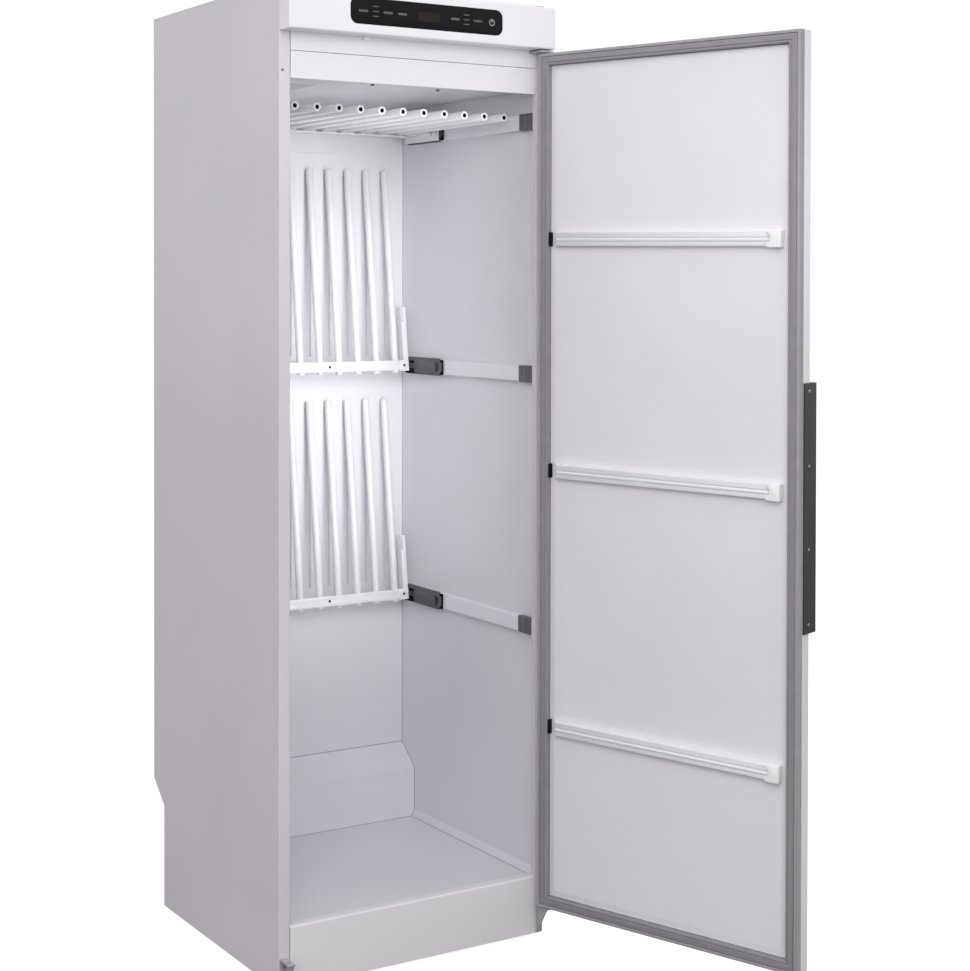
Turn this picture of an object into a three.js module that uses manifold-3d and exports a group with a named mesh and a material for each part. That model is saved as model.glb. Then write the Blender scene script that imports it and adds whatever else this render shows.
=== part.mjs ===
// Free-standing drying cabinet with a side-hung door and three pull-out racks of open tubes.
// Millimetres. +X is the hinge side, +Y the rear, +Z up. While the model is built, X = 0 is the
// middle of the cabinet, Y = 0 its front plane and Z = 0 the bottom edge of its sheet metal.
import * as THREE from 'three';
import { mergeVertices } from 'three/addons/utils/BufferGeometryUtils.js';
import Module from 'manifold-3d';

const wasm = await Module();
wasm.setup();

// ---------------------------------------------------------------- driving dimensions

// Sheet metal and clearances
const gap = 0.3; // between two pieces that rest on each other
const sheet = 1.2;
const bendRadius = 3;

// Reaches that shape nothing by themselves
const past = 1; // cutters start this far outside what they cut
const beyond = 20; // half the length of a cutter that goes right through
const bite = 0.5; // overlap of two bodies that are joined

// Outer shell
const cabinetWidth = 595;
const cabinetDepth = 610;
const bodyHeight = 1890;
const latchFlange = 23;
const hingeFlange = 19;
const jambDepth = 12;
const rearFlange = 14;
const recessDepth = 56; // step at the foot of the rear wall
const recessHeight = 213.5;
const recessRise = 47;
const panDepth = 20;
const topLipDrop = 3.7;
const topFlangeDrop = 14;

// Front opening
const plinthTop = 117;
const plinthRound = 10;
const plinthShelf = 26;
const lintelDrop = 180; // below the top of the cabinet
const seamDrop = 129;
const lintelSeamWidth = 1;
const lintelReturn = 12;

// Chamber lining
const wallCavity = 5.5; // between the outer panel's face and the lining's
const rearCavity = 45;
const ceilingDrop = 168;
const floorLevel = 112;
const skirtWidth = 8;
const skirtRise = 16;
const skirtDrop = 12;
const stepDepth = 57; // how far the step at the foot of the rear lining comes forward
const stepLow = 223.5;
const stepHigh = 271;
const grooveWidth = 16;
const grooveDepth = 3.5;
const grooveBelowTip = 8;
const coverHalfWidth = 114;
const coverDrop = 22; // below the ceiling
const coverHeight = 84;
const coverRelief = 6;
const coverRound = 4;

// Air slots of the ceiling
const slotLength = 60;
const slotWidth = 5;
const slotEase = 0.01; // of straight edge between a slot's two round ends
const slotPitch = 14;
const fanSlots = 7;
const heaterSlots = 9;

// Fascia and controls
const fasciaDepth = 42;
const fasciaDrop = 10; // below the top of the cabinet
const fasciaHeight = 83;
const fasciaWall = 2.5;
const fasciaRound = 5;
const glassWidth = 340;
const glassHeight = 50;
const glassRound = 15;
const glassThickness = 3;
const glassDrop = 40; // its middle, below the fascia's top
const boardWidth = 310;
const boardHeight = 38;
const boardThickness = 1.6;
const bossRadius = 4;
const bossEdge = 1; // from a boss to the edge of the board
const bossLength = 6;
const sensorWidth = 12;
const sensorHeight = 7;
const sensorDepth = 6;
const sensorX = -115;

// Levelling feet
const footHeight = 10;
const footRadius = 20;
const footNeck = 12;
const footPad = 4;
const footStud = 5;
const footStudLength = 14;
const footInset = 47;
const footFront = 45;
const footRearInset = 49; // from the recess of the rear wall

// Fan, heater and exhaust
const ductRadius = 62;
const ductWall = 1.5;
const ductInset = 135; // from the rear lining
const collarRise = 38;
const collarFlange = 16;
const collarPlate = 2;
const motorRadius = 24;
const motorHeight = 40;
const motorLevel = 62; // above the ceiling
const shaftRadius = 4;
const shaftLength = 28;
const motorRim = 3;
const motorRimHeight = 3;
const ringHeight = 20;
const ringLevel = 30; // the ring's top, above the motor's foot
const strutWidth = 4;
const strutHeight = 16;
const hubRadius = 20;
const hubHeight = 26;
const hubNose = 3;
const hubTip = 14;
const hubShoulder = 2;
const hubClearance = 2; // from the motor to the hub
const bladeCount = 6;
const bladeChord = 26;
const bladePitch = 35;
const bladeThickness = 1.6;
const bladeRoot = 2; // inside the hub
const tipClearance = 2;
const heaterX = -150;
const heaterY = 250;
const heaterLength = 150;
const heaterWidth = 70;
const heaterHeight = 45;
const finPitch = 15;
const finThickness = 2;

// Cord inlet
const inletInset = 97.5; // from the side of the cabinet
const inletLevel = 120;
const inletBody = 10;
const inletRim = 15;
const inletRimHeight = 4;
const inletBore = 5;
const inletTaper = 2;
const inletTail = 4; // inside the rear panel
const inletLength = 18;

// Racks: rails, carriages and weldments
const upperRackDrop = 65; // below the ceiling
const rackHeadroom = 77.606; // from the tips of folded rods to the next rack
const railHeight = 33;
const railDepth = 11.7; // from the lining into the chamber
const railWall = 1.5;
const railRearGap = 45; // from the rear lining
const capFront = 13;
const capLength = 51;
const capProud = 0.5;
const capRound = 1.5;
const capLine = 30.6; // from the cap's front
const capLineWidth = 2;
const capLineDepth = 0.8;
const carriageLength = 150;
const carriageSetback = 8; // from the rails' rear ends
const carriageWall = 1.2;
const carriageHook = 8;
const carriageStandOff = 5; // carriage web to rail
const carriageMouth = 9;
const carriageMouthShare = 0.8; // of half the carriage's height
const padHeight = 22;
const ledgeWidth = 7;
const ledgeRear = 52.5; // full-width part of the ledge
const windowLength = 9;
const windowHeight = 14;
const windowRound = 4;
const windowInset = 27;
const windowDepth = 0.7;
const pivotInset = 15; // from the carriages' rear ends
const rodCount = 11;
const rodMargin = 29.5; // from the end of the cross bar to the outermost rod
const rodRadius = 8;
const rodBore = 4.5;
const rackFront = 55; // the rods' front ends, when the rack is level
const rodStub = 16;
const rodRise = 7.5; // rod centre above the fold axis
const rodSides = 12;
const boreSides = 8;
const barWidth = 22;
const barThickness = 2.4;
const barEndClearance = 8; // to the carriages
const bracketLength = 142;
const bracketDepth = 18;
const bracketFlange = 12;
const bracketWall = 2;
const bracketNotch = 26;
const notchInset = 6; // from the bracket's tip
const notchDepth = 6;
const pivotRadius = 4;
const pivotClearance = 0.4;
const pinGrip = 1; // of the pivot pins, into the bar and into the carriages' webs
const weldSink = 0.2;

// Door
const doorBottom = 66;
const doorDrop = 9; // below the fascia
const doorFront = 42;
const doorBack = 17;
const doorRound = 3;
const doorAngle = 108.5; // as the photograph shows it
const hingeInset = 6.5;
const hingeY = -26;
const hingePin = 4;
const hingePinLength = 12;
const hingePinGrip = 4; // of the upper pin, into the door
const panelWall = 1.5;
const gasketWidth = 24;
const gasketSeam = 1; // gasket to inner panel
const gasketRound = 1.5;
const gasketBand = 6; // outer band, up to the first groove
const gasketBead = 4; // inner bead, from the second groove
const gasketGroove = 2;
const gasketGrooveDepth = 1.5;
const fieldY = -10;
const fieldCurve = 15; // width of the bend from the field down to the rim
const fieldSteps = 4;
const rimWidth = 2.5; // flat strip between the gasket and the bend
const hangerDrops = { lower: 1356, middle: 840, upper: 376 }; // below the door's top
const hangerStart = 38;
const hangerEndInset = 33;
const hangerPitch = 10;
const hangerNose = 16;
const hangerShoulder = 10;
const hangerCapLength = 42;
const hangerCapNotch = 13;
const hangerCapProud = 1;
const handleDrop = 642; // its top, below the door's top
const handleLength = 458;
const handleOverlap = 25;
const handleReach = 21;
const handleWall = 3;
const handleLip = 25;
const handleHem = 7;

// Hinge brackets
const bracketDrop = 6; // below the door
const bracketPlate = 3;
const bracketEdge = 1; // from the side of the cabinet
const bracketWidth = 13.5;
const bracketReach = 40;
const bracketFoot = 2;
const gussetWall = 2.5;
const upperPlateWidth = 32.7;
const upperPlateRise = 3; // above the door
const upperTabRise = 36;

// ---------------------------------------------------------------- sizes worked out from them

// Widths
const halfWidth = cabinetWidth / 2;
const openingLeft = latchFlange - halfWidth;
const openingRight = halfWidth - hingeFlange;
const liningHalfWidth = halfWidth - wallCavity;
const hingeX = halfWidth - hingeInset;
const inletX = halfWidth - inletInset;
const railInner = liningHalfWidth - gap - railDepth;
const carriageInner = railInner - carriageStandOff;
const barHalfLength = carriageInner - barEndClearance;
const rodSpacing = (2 * (barHalfLength - rodMargin)) / (rodCount - 1);
const bracketOuter = halfWidth - bracketEdge;
const bracketInner = bracketOuter - bracketWidth;
const upperPlateOuter = halfWidth - fasciaWall - gap;
const upperPlateInner = upperPlateOuter - upperPlateWidth;

// Depths
const liningFront = jambDepth + gap; // pans and trays start behind the jambs
const liningDepth = cabinetDepth - rearCavity;
const rearLiningFoot = liningDepth - stepDepth;
const backRecess = cabinetDepth - recessDepth;
const footRear = backRecess - footRearInset;
const ductY = liningDepth - ductInset;
const railRear = liningDepth - railRearGap;
const carriageRear = railRear - carriageSetback;
const pivotY = carriageRear - pivotInset;
const rodReach = pivotY - rackFront;

// Heights
const openingTop = bodyHeight - lintelDrop;
const lintelSeam = bodyHeight - seamDrop;
const liningTop = bodyHeight - ceilingDrop;
const coverBottom = liningTop - coverDrop - coverHeight;
const fasciaTop = bodyHeight - fasciaDrop;
const fasciaBottom = fasciaTop - fasciaHeight;
const glassLevel = fasciaTop - glassDrop;
const doorTop = fasciaBottom - doorDrop;
const handleTop = doorTop - handleDrop;
const handleBottom = handleTop - handleLength;
const bracketTop = doorBottom - bracketDrop;
const upperPlateLevel = doorTop + upperPlateRise;

// Lean of the folded rods, so that their tips rest against the rear lining.
const tipReach = liningDepth - gap - pivotY;
const tipHeight = rodRise + rodRadius;
const foldLean = Math.asin(tipReach / Math.hypot(rodReach, tipHeight)) - Math.atan2(tipHeight, rodReach);
const foldHeight = rodReach * Math.cos(foldLean);

// Each rack hangs so far below the next one that its folded rods end under it.
const rackPitch = foldHeight + rackHeadroom;
const upperLevel = liningTop - upperRackDrop;
const railLevels = { lower: upperLevel - 2 * rackPitch, middle: upperLevel - rackPitch, upper: upperLevel };

// ---------------------------------------------------------------- materials

const paint = (color, roughness, metalness = 0) => (
  new THREE.MeshStandardMaterial({ color, roughness, metalness })
);
const whiteEnamel = paint(0xeeedf1, 0.35);
const greyEnamel = paint(0xcfccd4, 0.4);
const liningEnamel = paint(0xdcdde2, 0.4);
const rackEnamel = paint(0xe6e6ea, 0.35);
const gasketRubber = paint(0x8f8a91, 0.7);
const capPlastic = paint(0x77737a, 0.6);
const whitePlastic = paint(0xe8e8ea, 0.5);
const carriageSteel = paint(0x55545a, 0.45, 0.4);
const handleCoat = paint(0x434247, 0.5);
const blackGlass = paint(0x141417, 0.15);
const boardResin = paint(0x2f5a3c, 0.6);
const zincSteel = paint(0xb9bcc0, 0.4, 0.8);
const blackPlastic = paint(0x2a2a2c, 0.6);
const motorSteel = paint(0x8c8f94, 0.4, 0.7);

// ---------------------------------------------------------------- solids

const axisX = new THREE.Vector3(1, 0, 0);
const axisY = new THREE.Vector3(0, 1, 0);
const axisZ = new THREE.Vector3(0, 0, 1);

/** A closed geometry as a solid that can be joined and cut. */
function solid(geometry) {
  const bare = geometry.clone();
  bare.deleteAttribute('normal');
  bare.deleteAttribute('uv');
  const merged = mergeVertices(bare, 1e-4);
  const index = merged.index.array;
  const triangles = [];
  for (let i = 0; i < index.length; i += 3) {
    const [a, b, c] = [index[i], index[i + 1], index[i + 2]];
    if (a !== b && b !== c && c !== a) {
      triangles.push(a, b, c);
    }
  }
  const vertProperties = new Float32Array(merged.attributes.position.array);
  const triVerts = new Uint32Array(triangles);
  return new wasm.Manifold(new wasm.Mesh({ numProp: 3, vertProperties, triVerts }));
}

function geometryOf(body) {
  const mesh = body.getMesh();
  const geometry = new THREE.BufferGeometry();
  geometry.setAttribute('position', new THREE.BufferAttribute(mesh.vertProperties, 3));
  geometry.setIndex(new THREE.BufferAttribute(mesh.triVerts, 1));
  geometry.computeVertexNormals();
  return geometry;
}

const join = (first, ...rest) => rest.reduce((whole, body) => whole.add(body), first);
const cut = (first, ...rest) => rest.reduce((whole, body) => whole.subtract(body), first);

/** A box between two limits on each axis, given in any order. */
function block([x0, x1], [y0, y1], [z0, z1]) {
  const low = at(Math.min(x0, x1), Math.min(y0, y1), Math.min(z0, z1));
  const high = at(Math.max(x0, x1), Math.max(y0, y1), Math.max(z0, z1));
  const geometry = new THREE.BoxGeometry(1, 1, 1);
  const { position } = geometry.attributes;
  for (let i = 0; i < position.count; i += 1) {
    const x = position.getX(i) < 0 ? low.x : high.x;
    const y = position.getY(i) < 0 ? low.y : high.y;
    const z = position.getZ(i) < 0 ? low.z : high.z;
    position.setXYZ(i, x, y, z);
  }
  return solid(geometry);
}

/** An outline drawn out between two exact limits, and turned from Z to another axis. */
function extruded(shape, basis, low, high, curveSegments = 6) {
  const geometry = new THREE.ExtrudeGeometry(shape, { depth: 1, bevelEnabled: false, curveSegments });
  const { position } = geometry.attributes;
  for (let i = 0; i < position.count; i += 1) {
    position.setZ(i, position.getZ(i) === 0 ? low : high);
  }
  geometry.applyMatrix4(basis);
  return solid(geometry);
}

const basisX = new THREE.Matrix4().makeBasis(axisY, axisZ, axisX);
const basisY = new THREE.Matrix4().makeBasis(axisX, axisZ, axisY.clone().negate());
const basisZ = new THREE.Matrix4();

/** An outline in (y, z) drawn out along X. */
function alongX(shape, x0, x1, curveSegments) {
  return extruded(shape, basisX, Math.min(x0, x1), Math.max(x0, x1), curveSegments);
}

/** An outline in (x, z) drawn out along Y. */
function alongY(shape, y0, y1, curveSegments) {
  return extruded(shape, basisY, -Math.max(y0, y1), -Math.min(y0, y1), curveSegments);
}

/** An outline in (x, y) drawn out along Z. */
function alongZ(shape, z0, z1, curveSegments) {
  return extruded(shape, basisZ, Math.min(z0, z1), Math.max(z0, z1), curveSegments);
}

/** A round bar from one point, along an axis. */
function bar(radius, from, axis, length, sides = 20) {
  const geometry = new THREE.CylinderGeometry(radius, radius, length, sides);
  geometry.translate(0, length / 2, 0);
  geometry.applyQuaternion(new THREE.Quaternion().setFromUnitVectors(axisY, axis));
  geometry.translate(from.x, from.y, from.z);
  return solid(geometry);
}

/** A body turned about a vertical axis from a closed outline of (radius, height) points. */
function turned(points, x, y, z, segments = 24) {
  const outline = points.map(([radius, height]) => new THREE.Vector2(radius, height));
  outline.push(outline[0].clone());
  const geometry = new THREE.LatheGeometry(outline, segments);
  geometry.rotateX(Math.PI / 2);
  geometry.translate(x, y, z);
  return solid(geometry);
}

const at = (x, y, z) => new THREE.Vector3(x, y, z);
const outline = (points) => new THREE.Shape(points.map(([u, v]) => new THREE.Vector2(u, v)));

/** A rectangle with round corners, centred on (u, v). */
function roundedRect(width, height, radius, u, v) {
  const shape = new THREE.Shape();
  const [left, right, low, high] = [u - width / 2, u + width / 2, v - height / 2, v + height / 2];
  shape.moveTo(left + radius, low);
  shape.lineTo(right - radius, low);
  shape.absarc(right - radius, low + radius, radius, -Math.PI / 2, 0);
  shape.lineTo(right, high - radius);
  shape.absarc(right - radius, high - radius, radius, 0, Math.PI / 2);
  shape.lineTo(left + radius, high);
  shape.absarc(left + radius, high - radius, radius, Math.PI / 2, Math.PI);
  shape.lineTo(left, low + radius);
  shape.absarc(left + radius, low + radius, radius, Math.PI, Math.PI * 1.5);
  return shape;
}

// ---------------------------------------------------------------- folded sheet

/** The points of an open line with each inner corner bent to a radius. */
function bent(points, radius, steps = 3) {
  const line = points.map(([u, v]) => new THREE.Vector2(u, v));
  const result = [line[0]];
  for (let i = 1; i < line.length - 1; i += 1) {
    const before = line[i - 1].clone().sub(line[i]).normalize();
    const after = line[i + 1].clone().sub(line[i]).normalize();
    const half = Math.acos(THREE.MathUtils.clamp(before.dot(after), -1, 1)) / 2;
    const room = Math.min(line[i - 1].distanceTo(line[i]), line[i + 1].distanceTo(line[i])) * 0.45;
    const tangent = Math.min(radius / Math.tan(half), room);
    const start = line[i].clone().addScaledVector(before, tangent);
    const end = line[i].clone().addScaledVector(after, tangent);
    for (let k = 0; k <= steps; k += 1) {
      const t = k / steps;
      const curve = new THREE.QuadraticBezierCurve(start, line[i], end);
      result.push(curve.getPoint(t));
    }
  }
  result.push(line[line.length - 1]);
  return result.map((point) => [point.x, point.y]);
}

/** An open line moved sideways to its left, with its corners kept mitred. */
function offset(points, distance) {
  const line = points.map(([u, v]) => new THREE.Vector2(u, v));
  const normals = line.slice(1).map((point, i) => {
    const along = point.clone().sub(line[i]).normalize();
    return new THREE.Vector2(-along.y, along.x);
  });
  return line.map((point, i) => {
    const first = normals[Math.max(i - 1, 0)];
    const second = normals[Math.min(i, normals.length - 1)];
    const mitre = first.clone().add(second).normalize();
    const moved = point.clone().addScaledVector(mitre, distance / mitre.dot(first));
    return [moved.x, moved.y];
  });
}

/** The section of a folded sheet whose right-hand face follows an open line. */
function folded(points, thickness) {
  return outline([...points, ...offset(points, thickness).reverse()]);
}

/** A loft through upright rectangles, each at an inset from the door's edge and at a depth. */
function rectangleLoft(width, bottom, top, outlinePoints, isRing) {
  const isReversed = THREE.ShapeUtils.area(outlinePoints.map(([inset, y]) => at(inset, y, 0))) > 0;
  const profile = isReversed ? [...outlinePoints].reverse() : outlinePoints;
  const positions = [];
  for (const [inset, y] of profile) {
    const x = width / 2 - inset;
    positions.push(-x, y, bottom + inset, x, y, bottom + inset, x, y, top - inset, -x, y, top - inset);
  }
  const index = [];
  const rows = profile.length;
  for (let row = 0; row < (isRing ? rows : rows - 1); row += 1) {
    for (let corner = 0; corner < 4; corner += 1) {
      const next = (corner + 1) % 4;
      const [a, b] = [row * 4 + corner, row * 4 + next];
      const [c, d] = [((row + 1) % rows) * 4 + next, ((row + 1) % rows) * 4 + corner];
      index.push(a, c, b, a, d, c);
    }
  }
  if (!isRing) {
    const last = (rows - 1) * 4;
    index.push(0, 1, 2, 0, 2, 3, last, last + 2, last + 1, last, last + 3, last + 2);
  }
  const geometry = new THREE.BufferGeometry();
  geometry.setAttribute('position', new THREE.Float32BufferAttribute(positions, 3));
  geometry.setIndex(index);
  return solid(geometry);
}

// ---------------------------------------------------------------- the assembly

const cabinet = new THREE.Group();

/** Adds one sub-part to a group, at a place in that group. */
function add(parent, name, body, material, place = at(0, 0, 0)) {
  const mesh = new THREE.Mesh(geometryOf(body), material);
  mesh.name = name;
  mesh.position.copy(place);
  parent.add(mesh);
  return mesh;
}

const sides = { left: -1, right: 1 };

// ---------------------------------------------------------------- outer shell

/** The rear outline in (y, z), from the floor up, brought in by some distance. */
function rearLine(inset, top) {
  const line = [
    [backRecess, 0],
    [backRecess, recessHeight],
    [cabinetDepth, recessHeight + recessRise],
    [cabinetDepth, top],
  ];
  return offset(line, inset);
}

function sidePanel(side) {
  const top = bodyHeight - sheet - gap;
  const inner = side > 0 ? openingRight : openingLeft;
  const section = bent([
    [inner, jambDepth],
    [inner, 0],
    [side * halfWidth, 0],
    [side * halfWidth, cabinetDepth],
  ], bendRadius);
  const wall = alongZ(folded(section, side * sheet), 0, top);
  const flange = alongX(
    folded(rearLine(0, top), 2 * sheet + gap),
    side * (halfWidth - rearFlange),
    side * (halfWidth - sheet / 2),
  );
  const [[foot], ...line] = rearLine(sheet + gap, top + beyond);
  const behind = outline([
    [foot, -beyond],
    ...line,
    [cabinetDepth + beyond, top + beyond],
    [cabinetDepth + beyond, -beyond],
  ]);
  return cut(join(wall, flange), alongX(behind, -cabinetWidth, cabinetWidth));
}

function rearPanel() {
  const hole = bar(inletBody + gap, at(inletX, backRecess - beyond, inletLevel), axisY, 2 * beyond);
  return cut(alongX(folded(rearLine(0, bodyHeight - sheet - gap), sheet), -halfWidth, halfWidth), hole);
}

function topPanel() {
  const plate = block([-halfWidth, halfWidth], [0, cabinetDepth], [bodyHeight - sheet, bodyHeight]);
  const lip = block(
    [openingLeft + gap, openingRight - gap],
    [0, sheet],
    [bodyHeight - topLipDrop, bodyHeight],
  );
  const flangeX = halfWidth - sheet - gap;
  const flanges = Object.values(sides).map((side) => block(
    [side * (flangeX - sheet), side * flangeX],
    [panDepth, cabinetDepth - panDepth],
    [bodyHeight - topFlangeDrop, bodyHeight],
  ));
  const hole = bar(ductRadius + gap, at(0, ductY, bodyHeight - beyond), axisZ, 2 * beyond, 32);
  return cut(join(plate, lip, ...flanges), hole);
}

function basePan() {
  const reach = halfWidth - sheet - gap;
  const [front, rear] = [liningFront, backRecess - 2 * (sheet + gap)];
  const outer = block([-reach, reach], [front, rear], [0, panDepth]);
  const inner = block(
    [sheet - reach, reach - sheet],
    [front + sheet, rear - sheet],
    [sheet, panDepth + past],
  );
  const holes = footPlaces().map(([x, y]) => bar(footStud + gap, at(x, y, -beyond), axisZ, 2 * beyond, 12));
  return cut(outer, inner, ...holes);
}

function plinth() {
  const line = bent([
    [0, 0],
    [0, plinthTop],
    [plinthShelf, plinthTop],
    [plinthShelf, floorLevel + gap],
  ], plinthRound, 5);
  return alongX(folded(line, -sheet), openingLeft + gap, openingRight - gap);
}

function lintelLower() {
  const line = [
    [0, lintelSeam],
    [0, openingTop],
    [lintelReturn, openingTop],
    [lintelReturn, liningTop - gap],
  ];
  return alongX(folded(line, sheet), openingLeft + gap, openingRight - gap);
}

function lintelUpper() {
  const line = [
    [lintelReturn, lintelSeam + lintelSeamWidth],
    [0, lintelSeam + lintelSeamWidth],
    [0, bodyHeight - topLipDrop - gap],
    [lintelReturn, bodyHeight - topLipDrop - gap],
  ];
  return alongX(folded(line, -sheet), openingLeft + gap, openingRight - gap);
}

function footPlaces() {
  const x = halfWidth - footInset;
  return [[-x, footFront], [x, footFront], [-x, footRear], [x, footRear]];
}

function levellingFoot() {
  return turned([
    [0, -footHeight],
    [footRadius, -footHeight],
    [footRadius, footPad - footHeight],
    [footNeck, -gap],
    [footStud, -gap],
    [footStud, footStudLength],
    [0, footStudLength],
  ], 0, 0, 0, 16);
}

// ---------------------------------------------------------------- chamber lining

function liningWall(side) {
  const front = sheet + gap;
  const section = [
    [side * liningHalfWidth, liningTop - gap],
    [side * liningHalfWidth, floorLevel + skirtRise],
    [side * (liningHalfWidth - skirtWidth), floorLevel],
    [side * (liningHalfWidth - skirtWidth), floorLevel - skirtDrop],
  ];
  const wall = alongY(folded(section, side * sheet), front, liningDepth - gap);
  const step = offset([
    [rearLiningFoot, floorLevel - skirtDrop - past],
    [rearLiningFoot, stepLow],
    [liningDepth, stepHigh],
  ], gap);
  const behind = outline([...step, [liningDepth + past, floorLevel - skirtDrop - past]]);
  return cut(wall, alongX(behind, -cabinetWidth, cabinetWidth));
}

/** The limits in Z of the channels behind the rods of one folded rack. */
function grooveSpan(level) {
  return [level + barWidth, level + foldHeight - grooveBelowTip];
}

/** The hollow of one pressed channel, round at its upper end. */
function grooveHollow(x, [foot, tip]) {
  const radius = grooveWidth / 2;
  const shape = new THREE.Shape();
  shape.moveTo(x - radius, foot);
  shape.lineTo(x + radius, foot);
  shape.absarc(x, tip - radius, radius, 0, Math.PI);
  return alongY(shape, liningDepth - past, liningDepth + grooveDepth, 3);
}

/** The back of one pressed channel, which stands out behind the lining. */
function grooveBack(x, [foot, tip]) {
  const reach = grooveWidth / 2 + sheet;
  const rear = liningDepth + grooveDepth + sheet;
  return block([x - reach, x + reach], [liningDepth, rear], [foot - sheet, tip + sheet]);
}

function innerRearWall() {
  const reach = liningHalfWidth + sheet;
  const plate = block([-reach, reach], [liningDepth, liningDepth + sheet], [stepHigh + gap, liningTop - gap]);
  const spans = [railLevels.lower, railLevels.middle].map(grooveSpan);
  const backs = spans.flatMap((span) => rodPlaces().map((x) => grooveBack(x, span)));
  const hollows = spans.flatMap((span) => rodPlaces().map((x) => grooveHollow(x, span)));
  return cut(join(plate, ...backs), ...hollows);
}

function innerRearStep() {
  const line = [
    [rearLiningFoot, floorLevel - skirtDrop],
    [rearLiningFoot, stepLow],
    [liningDepth, stepHigh],
  ];
  const reach = liningHalfWidth + sheet;
  return alongX(folded(line, -sheet), -reach, reach);
}

/** A row of slots through the ceiling, centred on (x, y). */
function slotRow(count, x, y) {
  const first = y - ((count - 1) * slotPitch) / 2;
  return Array.from({ length: count }, (_, i) => {
    const shape = roundedRect(slotLength, slotWidth, slotWidth / 2 - slotEase, x, first + i * slotPitch);
    return alongZ(shape, liningTop - past, liningTop + sheet + past, 1);
  });
}

function ceilingPanel() {
  const reach = liningHalfWidth + sheet;
  const plate = block([-reach, reach], [liningFront, liningDepth + sheet], [liningTop, liningTop + sheet]);
  return cut(plate, ...slotRow(fanSlots, 0, ductY), ...slotRow(heaterSlots, heaterX, heaterY));
}

function floorTray() {
  const reach = liningHalfWidth - skirtWidth - gap;
  const line = [
    [-reach, floorLevel - skirtDrop],
    [-reach, floorLevel],
    [reach, floorLevel],
    [reach, floorLevel - skirtDrop],
  ];
  return alongY(folded(line, -sheet), liningFront, rearLiningFoot - gap);
}

function rearAirCover() {
  const [back, front] = [liningDepth - gap, liningDepth - gap - coverRelief];
  const middle = coverBottom + coverHeight / 2;
  const shape = roundedRect(2 * coverHalfWidth, coverHeight, coverRound, 0, middle);
  const [width, height] = [2 * (coverHalfWidth - sheet), coverHeight - 2 * sheet];
  const hollow = roundedRect(width, height, coverRound - sheet, 0, middle);
  return cut(alongY(shape, front, back, 3), alongY(hollow, front + sheet, back + past, 3));
}

// ---------------------------------------------------------------- fascia

/** How far in front of the cabinet the fascia's inner face lies. */
const fasciaInside = fasciaDepth - glassThickness - gap - fasciaWall;

function fascia() {
  const shell = new THREE.Shape();
  shell.moveTo(-gap, fasciaBottom);
  shell.lineTo(-gap, fasciaTop);
  shell.lineTo(fasciaRound - fasciaDepth, fasciaTop);
  shell.absarc(fasciaRound - fasciaDepth, fasciaTop - fasciaRound, fasciaRound, Math.PI / 2, Math.PI);
  shell.lineTo(-fasciaDepth, fasciaBottom + fasciaRound);
  shell.absarc(fasciaRound - fasciaDepth, fasciaBottom + fasciaRound, fasciaRound, Math.PI, Math.PI * 1.5);
  const bodyShape = alongX(shell, -halfWidth, halfWidth, 4);
  const hollow = block(
    [fasciaWall - halfWidth, halfWidth - fasciaWall],
    [-fasciaInside, past],
    [fasciaBottom + fasciaWall, fasciaTop - fasciaWall],
  );
  const [pocketWidth, pocketHeight] = [glassWidth + 2 * gap, glassHeight + 2 * gap];
  const pocketShape = roundedRect(pocketWidth, pocketHeight, glassRound + gap, 0, glassLevel);
  const pocket = alongY(pocketShape, -fasciaDepth - past, -fasciaDepth + glassThickness + gap);
  const hingeNotch = block(
    [upperPlateInner - gap, halfWidth - fasciaWall],
    [-gussetWall - 2 * gap, past],
    [fasciaBottom - past, fasciaBottom + fasciaWall + past],
  );
  const bosses = bossPlaces().map(([x, z]) => (
    bar(bossRadius, at(x, -fasciaInside - bite, z), axisY, bossLength + bite, 12)
  ));
  return join(cut(bodyShape, hollow, pocket, hingeNotch), ...bosses);
}

function bossPlaces() {
  const inset = bossRadius + bossEdge;
  const [x, z] = [boardWidth / 2 - inset, boardHeight / 2 - inset];
  return [[-x, glassLevel - z], [x, glassLevel - z], [-x, glassLevel + z], [x, glassLevel + z]];
}

function controlGlass() {
  const shape = roundedRect(glassWidth, glassHeight, glassRound, 0, glassLevel);
  return alongY(shape, -fasciaDepth, -fasciaDepth + glassThickness);
}

function controlBoard() {
  const front = bossLength + gap - fasciaInside;
  const [x, z] = [boardWidth / 2, boardHeight / 2];
  return block([-x, x], [front, front + boardThickness], [glassLevel - z, glassLevel + z]);
}

function doorSensor() {
  const top = fasciaBottom - gap;
  const [left, right] = [sensorX - sensorWidth / 2, sensorX + sensorWidth / 2];
  return block([left, right], [-gap - sensorDepth, -gap], [top - sensorHeight, top]);
}

// ---------------------------------------------------------------- fan, heater, exhaust, inlet

const ceilingTop = liningTop + sheet;
const housingFoot = ceilingTop + gap;
const collarFoot = bodyHeight - panDepth;
const motorFoot = ceilingTop + motorLevel;
const ringTop = motorFoot + ringLevel;

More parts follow.
